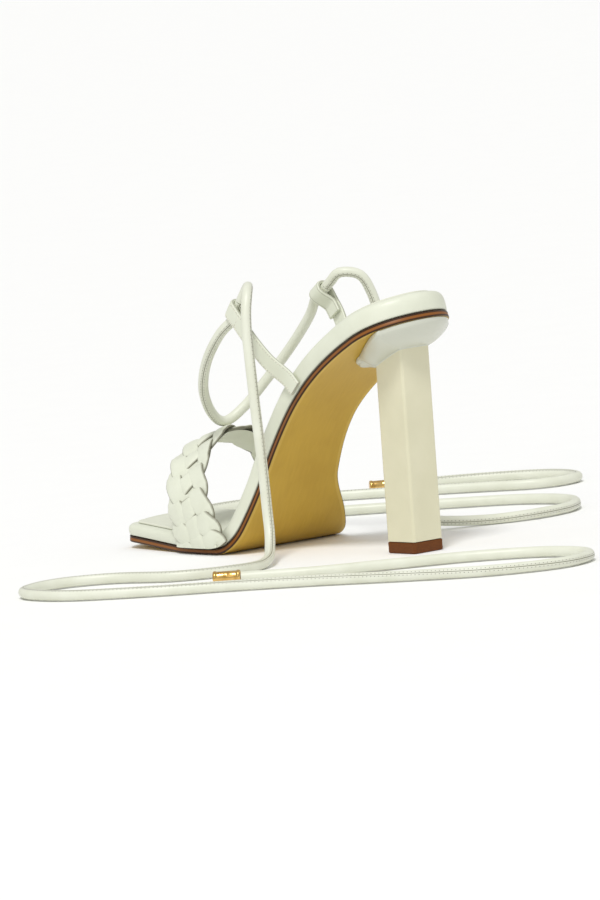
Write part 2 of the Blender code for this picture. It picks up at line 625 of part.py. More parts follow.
# The strap's middle line up its outer layer, evenly spaced, and its frame at the top
def strap_line(plan, count=15):
    side = plan["side"]
    reach = STRAP_WIDTH / 2 / SOLE_LENGTH
    widest = half_width(plan["share"] + np.linspace(-reach, reach, 5), side).max()
    edge = side * (float(widest) + GAP + BED_BULGE + STRAP_WALL / 2)
    base = on_sole(np.array(plan["share"]), edge, OUTSOLE + GAP + STRAP_LIFT)
    route = [base + np.array([side * row["out"] * plan["flare"], row["forward"] * plan["reach"],
                              row["up"] * plan["rise"]]) for row in plan["path"]]
    return smooth_route(route, count)


def strap_frame(line, side):
    tangent = np.gradient(line, axis=0)
    tangent /= np.linalg.norm(tangent, axis=1)[:, None]
    outward = np.array([side, 0.0, 0.0]) - tangent * (tangent @ np.array([side, 0.0, 0.0]))[:, None]
    outward /= np.linalg.norm(outward, axis=1)[:, None]
    return tangent, outward


LOOP_RADIUS = CORD / 2 + GAP + STRAP_WALL / 2


# Middle of the lace where it passes through a strap's loop, and the way it runs there
def loop_centre(plan):
    line = strap_line(plan)
    tangent, outward = strap_frame(line, plan["side"])
    forward = np.cross(tangent[-1], outward[-1]) * plan["side"]
    if forward[1] < 0:
        forward = -forward
    return line[-1] - outward[-1] * LOOP_RADIUS, forward


def build_strap(name, plan):
    line = strap_line(plan)
    side = plan["side"]
    tangent, outward = strap_frame(line, side)
    centre, width_way = loop_centre(plan)
    middle = [list(line), list(outward)]
    for angle in np.radians(np.linspace(0, 180, 9)[1:-1]):
        spoke = math.cos(angle) * outward[-1] + math.sin(angle) * tangent[-1]
        middle[0].append(centre + LOOP_RADIUS * spoke)
        middle[1].append(spoke)
    length = np.concatenate([[0], np.cumsum(np.linalg.norm(np.diff(line, axis=0), axis=1))])
    closed = STRAP_WALL + GAP
    for down in np.linspace(0.0, TAIL_LENGTH - LOOP_RADIUS, 7):
        at = [np.interp(length[-1] - down, length, line[:, k]) for k in range(3)]
        out = unit(np.array([np.interp(length[-1] - down, length, outward[:, k]) for k in range(3)]))
        t = min(down / TAIL_CLOSE, 1.0)
        ease = t * t * (3 - 2 * t)
        middle[0].append(np.array(at) - out * (2 * LOOP_RADIUS * (1 - ease) + closed * ease))
        middle[1].append(-out)
    places = np.array(middle[0])
    spokes = np.array(middle[1])
    way = np.gradient(places, axis=0)
    way /= np.linalg.norm(way, axis=1)[:, None]
    across = np.cross(way, spokes)
    across /= np.linalg.norm(across, axis=1)[:, None]
    spokes = np.cross(across, way)
    half = STRAP_WIDTH / 2
    wide = np.array([-1.0, -0.86, 0.0, 0.86, 1.0])
    crown = np.array([-EDGE_ROUND, 0.0, 0.0, 0.0, -EDGE_ROUND])
    grids = [places[:, None, :] + across[:, None, :] * (wide * half)[None, :, None]
             + spokes[:, None, :] * (sign * (STRAP_WALL / 2 + crown))[None, :, None] for sign in (1, -1)]
    strap = band_object(name, grids[0], grids[1], white_leather)

    seam_at = length[-1] - (TAIL_LENGTH - LOOP_RADIUS) + SEAM_LENGTH * 0.7
    at = np.array([np.interp(seam_at, length, line[:, k]) for k in range(3)])
    out = unit(np.array([np.interp(seam_at, length, outward[:, k]) for k in range(3)]))
    along = unit(np.array([np.interp(seam_at, length, tangent[:, k]) for k in range(3)]))
    wide_way = np.cross(along, out)
    middle_seam = at - out * (STRAP_WALL + GAP) / 2
    size = (SEAM_LENGTH / 2, STRAP_WIDTH * 0.38, (GAP + STRAP_WALL * 0.7) / 2)
    corners = [middle_seam + along * size[0] * a + wide_way * size[1] * b + out * size[2] * c
               for a in (-1, 1) for b in (-1, 1) for c in (-1, 1)]
    boxes = [[0, 1, 3, 2], [4, 6, 7, 5], [0, 4, 5, 1], [2, 3, 7, 6], [0, 2, 6, 4], [1, 5, 7, 3]]
    seam = mesh_object(name + "_seam", corners, boxes, white_leather)
    seam.hide_render = True
    seam.display_type = "WIRE"
    join = strap.modifiers.new("stitched", "BOOLEAN")
    join.operation = "UNION"
    join.object = seam


def bar_route():
    outer_loop, outer_way = loop_centre(SIDE_STRAPS["side_strap_lateral"])
    inner_loop, inner_way = loop_centre(SIDE_STRAPS["side_strap_medial"])
    reach = STRAP_WIDTH / 2 + BAR_END
    top_along = np.array([0.5])
    front, back = VAMP[3]["front"], VAMP[3]["back"]
    across = (front - BAR_FRONT) / (front - back)
    rest = vamp_place(top_along, np.array([across]))[0]
    rest = rest + np.array([0, 0, VAMP_WALL + STRIP_RELIEF + CORD / 2 + GAP])
    half_route = []
    for loop, way in ((outer_loop, outer_way), (inner_loop, inner_way)):
        rows = [loop - way * reach, loop - way * reach * 0.5, loop, loop + way * reach * 0.5, loop + way * reach]
        for row in BAR_ROWS:
            rows.append(np.array([
                BACK_X + (loop[0] - BACK_X) * row["across"],
                loop[1] + (rest[1] - loop[1]) * row["forward"],
                loop[2] + (rest[2] - loop[2]) * row["drop"]]))
        half_route.append(rows)
    return half_route[0] + [rest] + half_route[1][::-1]


def build_lace():
    route = bar_route()
    cord_object("lace_bar", smooth_route(route, BAR_POINTS), white_cord)
    for name, points, loop in (("lateral", LACE_LATERAL, route[0]), ("medial", LACE_MEDIAL, route[-1])):
        inside = route[1] if name == "lateral" else route[-2]
        way = unit(loop - inside)
        start = loop + way * GAP
        cord = smooth_route([start, start + way * LACE_STRAIGHT] + points, LACE_POINTS - 1)
        cord = np.vstack([start, start + way * LACE_STRAIGHT, cord[1:]])
        cord_object("lace_end_" + name, cord, white_cord)
        end_way = unit(cord[-1] - cord[-2])
        build_aglet("aglet_" + name, cord[-1] + end_way * GAP, end_way)


# Turned metal end: a sleeve with a rolled lip at each end
def build_aglet(name, start, way):
    side = unit(np.cross(way, [0, 0, 1.0]))
    up = np.cross(side, way)
    radius = AGLET_WIDTH / 2
    start = start + np.array([0, 0, radius - start[2] + 0.0001])
    profile = [(0.0, 0.88), (0.04, 1.0), (0.12, 1.0), (0.16, 0.92), (0.84, 0.92), (0.88, 1.0),
               (0.96, 1.0), (1.0, 0.88)]
    count = 16
    turns = np.linspace(0, 2 * math.pi, count, endpoint=False)
    points = [start + way * AGLET_LENGTH * along + (side * math.cos(a) + up * math.sin(a)) * radius * wide
              for along, wide in profile for a in turns]
    faces = [[r * count + k, r * count + (k + 1) % count, (r + 1) * count + (k + 1) % count,
              (r + 1) * count + k] for r in range(len(profile) - 1) for k in range(count)]
    faces += [list(range(count))[::-1], [(len(profile) - 1) * count + k for k in range(count)]]
    mesh_object(name, points, faces, gold_metal, 30.0)


build_sole()
build_heel()
build_vamp()
for strap_name, strap_plan in SIDE_STRAPS.items():
    build_strap(strap_name, strap_plan)
build_lace()
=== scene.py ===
# Looks of a lace up heeled sandal, left shoe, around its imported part.
# Metres, toe towards +Y, inner side of the foot at +X, floor at Z = 0.
import math

import bmesh
import bpy
import numpy as np
from mathutils import Matrix, Vector


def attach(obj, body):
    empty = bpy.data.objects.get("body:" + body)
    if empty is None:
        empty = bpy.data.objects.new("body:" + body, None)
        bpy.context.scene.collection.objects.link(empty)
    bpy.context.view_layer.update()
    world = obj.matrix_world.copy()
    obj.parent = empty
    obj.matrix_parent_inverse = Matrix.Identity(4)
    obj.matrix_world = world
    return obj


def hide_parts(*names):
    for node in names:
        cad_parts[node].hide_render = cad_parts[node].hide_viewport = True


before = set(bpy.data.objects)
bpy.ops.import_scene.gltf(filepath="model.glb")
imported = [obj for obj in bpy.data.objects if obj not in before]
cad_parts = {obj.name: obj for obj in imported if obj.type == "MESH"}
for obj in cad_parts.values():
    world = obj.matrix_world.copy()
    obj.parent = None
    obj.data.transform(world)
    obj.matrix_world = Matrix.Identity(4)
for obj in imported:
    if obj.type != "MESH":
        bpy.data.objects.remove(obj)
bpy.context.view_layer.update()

print("stage: frame loaded")

# The camera stands where the photograph was taken from, low behind the outer side of the
# shoe, rolled a little with its right side down. The lens is longer, to frame the one shoe.
cameraPlan = dict(place=(-2.644, -3.097, 0.449), aim=(-0.0035, -0.0063, 0.047), roll=-4.7,
                  spanWide=0.288, sensor=36.0)


def makeCamera():
    place = Vector(cameraPlan["place"])
    aim = Vector(cameraPlan["aim"])
    forward = (aim - place).normalized()
    right = forward.cross(Vector((0, 0, 1))).normalized()
    up = right.cross(forward)
    roll = math.radians(cameraPlan["roll"])
    rolledRight = right * math.cos(roll) + up * math.sin(roll)
    rolledUp = up * math.cos(roll) - right * math.sin(roll)
    lens = bpy.data.cameras.new("camera")
    lens.sensor_fit = "HORIZONTAL"
    lens.sensor_width = cameraPlan["sensor"]
    lens.lens = cameraPlan["sensor"] * (aim - place).length / cameraPlan["spanWide"]
    lens.clip_end = 200
    made = bpy.data.objects.new("camera", lens)
    bpy.context.scene.collection.objects.link(made)
    turn = Matrix((rolledRight, rolledUp, -forward)).transposed()
    made.matrix_world = Matrix.Translation(place) @ turn.to_4x4()
    bpy.context.scene.camera = made


makeCamera()


# Colours are sRGB hex values, turned to the linear values that the shader takes
def hexColour(text):
    parts = np.array([int(text[k:k + 2], 16) / 255 for k in (1, 3, 5)])
    linear = np.where(parts <= 0.04045, parts / 12.92, ((parts + 0.055) / 1.055) ** 2.4)
    return (*map(float, linear), 1.0)


# One node with its settings, its inputs set to a value or linked to another node's output
def addNode(tree, kind, inputs=None, **settings):
    node = tree.nodes.new(kind)
    for key, value in settings.items():
        setattr(node, key, value)
    for key, value in (inputs or {}).items():
        if isinstance(value, bpy.types.NodeSocket):
            tree.links.new(value, node.inputs[key])
        else:
            node.inputs[key].default_value = value
    return node


# An empty material with its tree, its shader and its coordinates in metres
def startMaterial(name, **shaderValues):
    made = bpy.data.materials.new(name)
    made.use_nodes = True
    tree = made.node_tree
    shader = tree.nodes["Principled BSDF"]
    for key, value in shaderValues.items():
        shader.inputs[key.replace("_", " ")].default_value = value
    coordinates = addNode(tree, "ShaderNodeTexCoord")
    return made, tree, shader, coordinates.outputs


def colourRamp(tree, factor, stops):
    ramp = addNode(tree, "ShaderNodeValToRGB", {"Fac": factor})
    while len(ramp.color_ramp.elements) < len(stops):
        ramp.color_ramp.elements.new(0.5)
    for element, (place, colour) in zip(ramp.color_ramp.elements, stops):
        element.position = place
        element.color = hexColour(colour)
    return ramp.outputs["Color"]


# Short forms of the nodes used most, each giving back its output. Names that end in Mm are
# millimetres.
def addNoise(tree, vector, sizeMm, detail, **more):
    return addNode(tree, "ShaderNodeTexNoise", {"Vector": vector, "Scale": 1000 / sizeMm,
                                                 "Detail": detail, **more}).outputs["Fac"]


# The size only says how fine the bands are: their real pitch is longer than that in millimetres
def addWave(tree, vector, size, direction, **more):
    return addNode(tree, "ShaderNodeTexWave", {"Vector": vector, "Scale": 1000 / size / 6.28, **more},
                   bands_direction=direction).outputs["Fac"]


def addMath(tree, operation, *values):
    return addNode(tree, "ShaderNodeMath", dict(enumerate(values)), operation=operation).outputs[0]


def addRange(tree, value, start, end, low=0.0, high=1.0, kind="LINEAR"):
    return addNode(tree, "ShaderNodeMapRange", {"Value": value, "From Min": start, "From Max": end,
                                                 "To Min": low, "To Max": high},
                   interpolation_type=kind).outputs["Result"]


def addMix(tree, factor, first, second):
    return addNode(tree, "ShaderNodeMix", {"Factor": factor, 6: first, 7: second},
                   data_type="RGBA").outputs[2]


def addMark(tree, name):
    return addNode(tree, "ShaderNodeAttribute", attribute_name=name).outputs["Fac"]


def addBump(tree, height, depthMm, strength=1.0, **more):
    return addNode(tree, "ShaderNodeBump", {"Height": height, "Strength": strength,
                                             "Distance": depthMm / 1000, **more}).outputs["Normal"]


# Full grain leather with a thin polyurethane coat, off-white, pressed with a very fine
# pebble: soft broad highlights, slightly cloudy colour, and a grain only seen close up.
# Attribute "crease", from 0 to 1, mixes in a dark painted shade: in the plait's grooves and under
# its strips, in the strap's stitch furrows and along its cut edges, and where the footbed's
# wrapped edge turns under.
coatedLeather = dict(light="#E1E4D2", dark="#DBDECB", crease="#67634E", grainMm=0.55, cloudMm=14.0,
                     rough=(0.36, 0.46), grainDepthMm=0.020, wrinkleMm=3.2, wrinkleDepthMm=0.05)


def leatherMaterial(name, plan):
    made, tree, shader, where = startMaterial(name, IOR=1.5)
    cloud = addNoise(tree, where["Object"], plan["cloudMm"], 4.0, Roughness=0.55)
    cells = addNode(tree, "ShaderNodeTexVoronoi", {"Vector": where["Object"],
                                                    "Scale": 1000 / plan["grainMm"]})
    wrinkle = addNoise(tree, where["Object"], plan["wrinkleMm"], 3.0, Distortion=0.6)
    colour = colourRamp(tree, cloud, [(0.32, plan["dark"]), (0.66, plan["light"])])
    # painted shade, mixed in by the crease mark
    paintedShade = addMix(tree, addMark(tree, "crease"), colour, hexColour(plan["crease"]))
    tree.links.new(paintedShade, shader.inputs["Base Color"])
    rough = addRange(tree, cloud, 0.3, 0.7, *plan["rough"])
    tree.links.new(rough, shader.inputs["Roughness"])
    folds = addBump(tree, wrinkle, plan["wrinkleDepthMm"])
    grain = addBump(tree, cells.outputs["Distance"], plan["grainDepthMm"], Normal=folds)
    tree.links.new(grain, shader.inputs["Normal"])
    return made


# Rolled cord of the same coated leather. Its one seam runs along it: a dark line where the
# folded edge meets, with a row of small stitches on each side, and a pricked hole between
# two stitches. UV: x around from 0 to 1, y along in metres.
cordLeather = dict(light="#E3E5D5", dark="#DCDECC", seam="#827F6A", thread="#E6E7D8", cloudMm=12.0,
                   seamAt=0.27, seamHalf=0.015, rowAway=0.052, rowHalf=(0.008, 0.014), stitchMm=1.9,
                   depthMm=0.18, rough=0.40)


def cordMaterial():
    plan = cordLeather
    made, tree, shader, where = startMaterial("rolledCordLeather", IOR=1.5, Roughness=plan["rough"])
    cloud = addNoise(tree, where["Object"], plan["cloudMm"], 4.0)
    base = colourRamp(tree, cloud, [(0.35, plan["dark"]), (0.65, plan["light"])])
    split = addNode(tree, "ShaderNodeSeparateXYZ", {"Vector": where["UV"]})
    gap = addMath(tree, "ABSOLUTE", addMath(tree, "SUBTRACT", split.outputs["X"], plan["seamAt"]))
    line = addRange(tree, gap, plan["seamHalf"] * 0.4, plan["seamHalf"], 1.0, 0.0, "SMOOTHSTEP")
    withSeam = addMix(tree, line, base, hexColour(plan["seam"]))
    turn = addMath(tree, "MULTIPLY", split.outputs["Y"], 2 * math.pi * 1000 / plan["stitchMm"])
    dash = addRange(tree, addMath(tree, "SINE", turn), -0.92, -0.70, kind="SMOOTHSTEP")
    besideGap = addMath(tree, "ABSOLUTE", addMath(tree, "SUBTRACT", gap, plan["rowAway"]))
    row = addRange(tree, besideGap, *plan["rowHalf"], 1.0, 0.0, "SMOOTHSTEP")
    stitch = addMath(tree, "MULTIPLY", row, dash)
    hole = addMath(tree, "SUBTRACT", row, stitch)
    pricked = addMix(tree, hole, withSeam, hexColour(plan["seam"]))
    sewn = addMix(tree, stitch, pricked, hexColour(plan["thread"]))
    tree.links.new(sewn, shader.inputs["Base Color"])
    raised = addMath(tree, "SUBTRACT", stitch, line)
    tree.links.new(addBump(tree, raised, plan["depthMm"]), shader.inputs["Normal"])
    return made


# Hard sole: a painted underside, tan and silky, and an edge stained brown, with a dark line of
# painted shade along its upper and lower rim. Attribute "rim": 0 under, 0.5 in the lighter band near
# the edge, 1 to 2 up the edge.
paintedSole = dict(under="#CAA642", underDark="#C19D3D", band="#D8B85C", bandShare=0.55,
                   edge="#8A5420", line="#38200C", streakMm=1.4, streakShare=0.35, stretch=0.16,
                   cloudMm=26.0, depthMm=0.04)


def soleMaterial():
    plan = paintedSole
    made, tree, shader, where = startMaterial("paintedSole", IOR=1.48, Roughness=0.42,
                                              Specular_IOR_Level=0.3)
    stretch = addNode(tree, "ShaderNodeMapping", {"Vector": where["Object"],
                                                   "Scale": (1.0, plan["stretch"], plan["stretch"])})
    streak = addNoise(tree, stretch.outputs["Vector"], plan["streakMm"], 5.0)
    cloud = addNoise(tree, where["Object"], plan["cloudMm"], 3.0)
    both = addMath(tree, "MULTIPLY", streak, plan["streakShare"])
    mixed = addMath(tree, "MULTIPLY_ADD", cloud, 1 - plan["streakShare"], both)
    under = colourRamp(tree, mixed, [(0.38, plan["underDark"]), (0.62, plan["under"])])
    rim = addMark(tree, "rim")
    # painted shade: the dark line colour at rim 1 to 1.2 and 1.8 to 2, the edge's lower and upper rims
    edge = colourRamp(tree, addMath(tree, "SUBTRACT", rim, 1.0),
                      [(0.0, plan["line"]), (0.20, plan["line"]), (0.36, plan["edge"]),
                       (0.66, plan["edge"]), (0.80, plan["line"]), (1.0, plan["line"])])
    onEdge = addRange(tree, rim, 0.80, 0.98)
    nearEdge = addRange(tree, rim, 0.0, 0.5, 0.0, plan["bandShare"])
    banded = addMix(tree, nearEdge, under, hexColour(plan["band"]))
    tree.links.new(addMix(tree, onEdge, banded, edge), shader.inputs["Base Color"])
    tree.links.new(addBump(tree, streak, plan["depthMm"]), shader.inputs["Normal"])
    return made


# Moulded plastic heel under a cream lacquer: smooth, with long soft reflections and a
# slight orange peel. Attribute "cap" turns the cream a little greyer over the cap: painted shade, as its
# sides face downwards.
lacqueredHeel = dict(light="#DFDBBE", dark="#DAD6B8", cap="#CFD1C3", cloudMm=22.0, peelMm=2.2,
                     peelDepthMm=0.04, rough=0.27)


def heelMaterial():
    plan = lacqueredHeel
    made, tree, shader, where = startMaterial("lacqueredHeel", IOR=1.5, Roughness=plan["rough"])
    cloud = addNoise(tree, where["Object"], plan["cloudMm"], 3.0)
    colour = colourRamp(tree, cloud, [(0.35, plan["dark"]), (0.65, plan["light"])])
    # painted shade: the cap greyer than the column
    both = addMix(tree, addMark(tree, "cap"), colour, hexColour(plan["cap"]))
    tree.links.new(both, shader.inputs["Base Color"])
    peel = addNoise(tree, where["Object"], plan["peelMm"], 1.0)
    tree.links.new(addBump(tree, peel, plan["peelDepthMm"]), shader.inputs["Normal"])
    return made


# Hard polyurethane rubber heel tip, moulded: brown, matt, with a fine sandy bloom
rubberTip = dict(light="#6E3D12", dark="#61340D", grainMm=0.5, grainDepthMm=0.05, rough=0.6)


def tipMaterial():
    plan = rubberTip
    made, tree, shader, where = startMaterial("rubberTip", IOR=1.52, Roughness=plan["rough"],
                                              Specular_IOR_Level=0.25)
    grain = addNoise(tree, where["Object"], plan["grainMm"], 3.0)
    colour = colourRamp(tree, grain, [(0.35, plan["dark"]), (0.65, plan["light"])])
    tree.links.new(colour, shader.inputs["Base Color"])
    tree.links.new(addBump(tree, grain, plan["grainDepthMm"]), shader.inputs["Normal"])
    return made


# Bonded polyester sewing thread: ivory, round, with a soft twist
sewingThread = dict(light="#EDEBDD", dark="#CFCCBB", twistSize=0.5, twistDepthMm=0.05, rough=0.6)


def threadMaterial():
    plan = sewingThread
    made, tree, shader, where = startMaterial("sewingThread", IOR=1.53, Roughness=plan["rough"])
    twist = addWave(tree, where["Object"], plan["twistSize"], "DIAGONAL", Distortion=0.4)
    colour = colourRamp(tree, twist, [(0.2, plan["dark"]), (0.8, plan["light"])])
    tree.links.new(colour, shader.inputs["Base Color"])
    tree.links.new(addBump(tree, twist, plan["twistDepthMm"]), shader.inputs["Normal"])
    return made


# Turned brass with a thin gold plate, polished: a mirror with faint turning lines
platedMetal = dict(light="#E3BE78", dark="#C79A4E", smearMm=3.0, turnSize=0.35, turnDepthMm=0.02,
                   turnStrength=0.4, rough=(0.16, 0.30))


def metalMaterial():
    plan = platedMetal
    made, tree, shader, where = startMaterial("platedMetal", Metallic=1.0)
    smear = addNoise(tree, where["Object"], plan["smearMm"], 4.0)
    colour = colourRamp(tree, smear, [(0.3, plan["dark"]), (0.6, plan["light"])])
    tree.links.new(colour, shader.inputs["Base Color"])
    rough = addRange(tree, smear, 0.0, 1.0, *plan["rough"])
    tree.links.new(rough, shader.inputs["Roughness"])
    lines = addWave(tree, where["UV"], plan["turnSize"], "Y")
    relief = addBump(tree, lines, plan["turnDepthMm"], plan["turnStrength"])
    tree.links.new(relief, shader.inputs["Normal"])
    return made


# Seamless studio paper: matt and nearly white
studioPaper = dict(light="#FAFAF9", dark="#F9F9F8", fibreMm=25.0, rough=0.9)


def paperMaterial():
    plan = studioPaper
    made, tree, shader, where = startMaterial("studioPaper", Roughness=plan["rough"], IOR=1.45)
    fibre = addNoise(tree, where["Object"], plan["fibreMm"], 4.0)
    colour = colourRamp(tree, fibre, [(0.3, plan["dark"]), (0.7, plan["light"])])
    tree.links.new(colour, shader.inputs["Base Color"])
    return made


leather = leatherMaterial("coatedLeather", coatedLeather)
sockPlan = dict(coatedLeather, light="#E0E2D1", dark="#DADCCA", rough=(0.46, 0.56), wrinkleMm=7.0,
                wrinkleDepthMm=0.08)
sockLeather = leatherMaterial("sockLeather", sockPlan)
cordFinish = cordMaterial()
soleFinish = soleMaterial()
heelFinish = heelMaterial()
tipFinish = tipMaterial()
threadFinish = threadMaterial()
metalFinish = metalMaterial()
print("stage: materials")


# Mesh from an array of points and arrays of faces, at the origin, smooth up to an angle.
# uv gives a pair for each point, and marks one number for each point under a name.
def putMesh(name, points, faceArrays, finish, uv=None, marks=None, sharpAngle=40.0):
    mesh = bpy.data.meshes.new(name)
    faces = [face for array in faceArrays for face in np.asarray(array).tolist()]
    mesh.from_pydata(np.asarray(points, float).tolist(), [], faces)
    if uv is not None:
        layer = mesh.uv_layers.new(name="own")
        corner = np.empty(len(mesh.loops), dtype=np.int32)
        mesh.loops.foreach_get("vertex_index", corner)
        layer.data.foreach_set("uv", np.asarray(uv, np.float32)[corner].ravel())
    for key, values in (marks or {}).items():
        mark = mesh.attributes.new(key, "FLOAT", "POINT")
        mark.data.foreach_set("value", np.asarray(values, np.float32))
    mesh.update()
    mesh.shade_smooth()
    mesh.set_sharp_from_angle(angle=math.radians(sharpAngle))
    mesh.materials.append(finish)
    made = bpy.data.objects.new(name, mesh)
    bpy.context.scene.collection.objects.link(made)
    return made


# Four cornered faces of a grid of rows and columns; a closed side joins its last to its first
def gridFaces(rows, columns, closeRows=False, closeColumns=False, start=0):
    i = np.arange(rows if closeRows else rows - 1)[:, None]
    j = np.arange(columns if closeColumns else columns - 1)[None, :]
    nextRow = (i + 1) % rows
    nextColumn = (j + 1) % columns
    quads = np.stack([i * columns + j, nextRow * columns + j,
                      nextRow * columns + nextColumn, i * columns + nextColumn], -1)
    return quads.reshape(-1, 4) + start


def unit(vectors):
    return vectors / np.linalg.norm(vectors, axis=-1, keepdims=True)


# Faces of a tube of rings, with one face over each end
def tubeFaces(rows, columns, closeColumns=True):
    ring = np.arange(columns)
    return [gridFaces(rows, columns, closeColumns=closeColumns), ring[None, ::-1],
            ((rows - 1) * columns + ring)[None, :]]


# UV of such a tube: one number for each column, and one for each row
def tubeUv(around, along):
    shape = (len(along), len(around))
    return np.stack([np.broadcast_to(around, shape), np.broadcast_to(along[:, None], shape)],
                    -1).reshape(-1, 2)


# The normals are turned outwards, in case a profile ran the other way round. Points closer
# than the weld distance, where one is given, are joined first.
def faceOutwards(piece, weld=0.0):
    shape = bmesh.new()
    shape.from_mesh(piece.data)
    if weld:
        bmesh.ops.remove_doubles(shape, verts=shape.verts, dist=weld)
    bmesh.ops.recalc_face_normals(shape, faces=shape.faces)
    shape.to_mesh(piece.data)
    shape.free()
    return piece


# Length run at each point of a path, and a path's values read off at given lengths
def runLength(path):
    return np.concatenate([[0.0], np.cumsum(np.linalg.norm(np.diff(path, axis=0), axis=1))])


def readAlong(spots, length, values):
    return np.stack([np.interp(spots, length, values[:, k]) for k in range(3)], -1)


# From 0 to 1 by a smooth step
def smoothStep(value):
    value = np.clip(value, 0.0, 1.0)
    return value * value * (3 - 2 * value)


# Catmull-Rom curve through given points, sampled evenly along its length
def smoothRoute(route, count):
    route = np.array(route, float)
    padded = np.vstack([2 * route[0] - route[1], route, 2 * route[-1] - route[-2]])
    a, b, c, d = padded[:-3], padded[1:-2], padded[2:-1], padded[3:]
    t = np.linspace(0, 1, 40, endpoint=False)[None, :, None]
    a, b, c, d = (part[:, None, :] for part in (a, b, c, d))
    dense = 0.5 * (2 * b + (c - a) * t + (2 * a - 5 * b + 4 * c - d) * t ** 2
                   + (3 * b - a - 3 * c + d) * t ** 3)
    dense = np.vstack([dense.reshape(-1, 3), route[-1:]])
    length = runLength(dense)
    return readAlong(np.linspace(0, length[-1], count), length, dense)


# Smooth curve through a table's rows that never swings past them: each row's tangent is
# the harmonic mean of the slopes beside it, and level at a turning point.
def throughRows(x, table, key, value):
    xs = np.array([row[key] for row in table], float)
    ys = np.array([row[value] for row in table], float)
    x = np.asarray(x, float)
    step = np.diff(xs)
    rise = np.diff(ys) / step
    tangent = np.zeros(len(xs))
    same = rise[:-1] * rise[1:] > 0
    left = 2 * step[1:] + step[:-1]
    right = step[1:] + 2 * step[:-1]
    before = np.where(same, rise[:-1], 1.0)
    after = np.where(same, rise[1:], 1.0)
    tangent[1:-1] = np.where(same, (left + right) / (left / before + right / after), 0.0)
    tangent[0] = rise[0]
    tangent[-1] = rise[-1]
    spot = np.clip(np.searchsorted(xs, x, side="right") - 1, 0, len(xs) - 2)
    t = (x - xs[spot]) / step[spot]
    return ((1 + 2 * t) * (1 - t) ** 2 * ys[spot] + t * (1 - t) ** 2 * step[spot] * tangent[spot]
            + t * t * (3 - 2 * t) * ys[spot + 1] - t * t * (1 - t) * step[spot] * tangent[spot + 1])


# The sole's own lines. Columns of its table: share of the length, slope in degrees down to
# the toe, half widths as shares of the ball's width, and the footbed's thickness as a share.
sole = dict(length=0.255, ball=0.078, heelHeight=0.112, hard=0.003, bed=0.010, bulge=0.0003,
            dish=0.0016, dishEnd=0.62, dishFade=0.3, dishBack=0.022, dishEdge=0.0042, sock=0.0009,
            sockMargin=0.0046, gap=0.0003,
            heelRound=0.027, toeCorner=0.009, toeBow=0.004, bowFrom=0.86, back=(-0.00115, -0.10550), rows=[
                dict(share=0.000, slope=15.0, outer=0.350, inner=0.340, bed=1.00),
                dict(share=0.106, slope=24.0, outer=0.360, inner=0.330, bed=1.00),
                dict(share=0.235, slope=34.0, outer=0.375, inner=0.270, bed=0.96),
                dict(share=0.373, slope=48.5, outer=0.372, inner=0.190, bed=0.90),
                dict(share=0.490, slope=58.0, outer=0.395, inner=0.215, bed=0.86),
                dict(share=0.590, slope=53.0, outer=0.445, inner=0.380, bed=0.80),
                dict(share=0.650, slope=27.0, outer=0.475, inner=0.475, bed=0.72),
                dict(share=0.700, slope=0.0, outer=0.482, inner=0.515, bed=0.66),
                dict(share=0.765, slope=0.0, outer=0.475, inner=0.508, bed=0.60),
                dict(share=0.830, slope=-4.0, outer=0.448, inner=0.462, bed=0.57),
                dict(share=0.920, slope=-4.0, outer=0.405, inner=0.400, bed=0.55),
                dict(share=1.000, slope=-3.0, outer=0.370, inner=0.360, bed=0.54)])


def soleValue(name, share):
    return throughRows(np.clip(share, 0.0, 1.0), sole["rows"], "share", name)


fineShare = np.linspace(0.0, 1.0, 1021)
tableSlope = np.radians(soleValue("slope", fineShare))


# Side line of the sole: its slopes summed up along the length. The arch's slopes are turned
# by one factor, found by halving, so that the back stands at the heel's height.
def sideLine(factor):
    slope = np.where(tableSlope > 0, tableSlope * factor, tableSlope)
    middle = (slope[1:] + slope[:-1]) / 2
    step = sole["length"] / (len(fineShare) - 1)
    forward = np.concatenate([[0.0], np.cumsum(np.cos(middle) * step)])
    down = np.concatenate([[0.0], np.cumsum(np.sin(middle) * step)])
    return forward, down.max() - down, slope


lowFactor, highFactor = 0.3, 1.4
for _ in range(40):
    archFactor = (lowFactor + highFactor) / 2
    if sideLine(archFactor)[1][0] < sole["heelHeight"]:
        lowFactor = archFactor
    else:
        highFactor = archFactor
lineForward, lineHeight, lineSlope = sideLine(archFactor)
planLength = lineForward[-1]
backX, backY = sole["back"]


def shareAt(forward):
    return np.interp(forward, lineForward, fineShare)


def underSole(forward):
    return np.interp(forward, lineForward, lineHeight)


# Just over the hard sole's upper face
def overSole(forward):
    return np.interp(forward, lineForward, lineHeight + sole["hard"] / np.cos(lineSlope)) + sole["gap"]


# A place on the sole: share along it, x across, lift at right angles to its underside
def onSole(share, across, lift):
    forward = np.interp(share, fineShare, lineForward)
    height = np.interp(share, fineShare, lineHeight)
    slope = np.interp(share, fineShare, lineSlope)
    past = (np.maximum(share - 1.0, 0.0) + np.minimum(share, 0.0)) * sole["length"]
    return np.stack([backX + across, backY + forward + past * np.cos(slope) + lift * np.sin(slope),
                     height - past * np.sin(slope) + lift * np.cos(slope)], -1)


# Half width on one side: the table, less a quarter circle at the heel and at the toe's corners
def halfWidth(share, side):
    width = soleValue("outer" if side < 0 else "inner", share) * sole["ball"]
    fromBack = np.clip(share * sole["length"] / sole["heelRound"], 0.0, 1.0)
    fromToe = np.clip((1.0 - share) * sole["length"] / sole["toeCorner"], 0.0, 1.0)
    width = width * np.sqrt(1 - (1 - fromBack) ** 2)
    return width - sole["toeCorner"] * (1 - np.sqrt(1 - (1 - fromToe) ** 2))


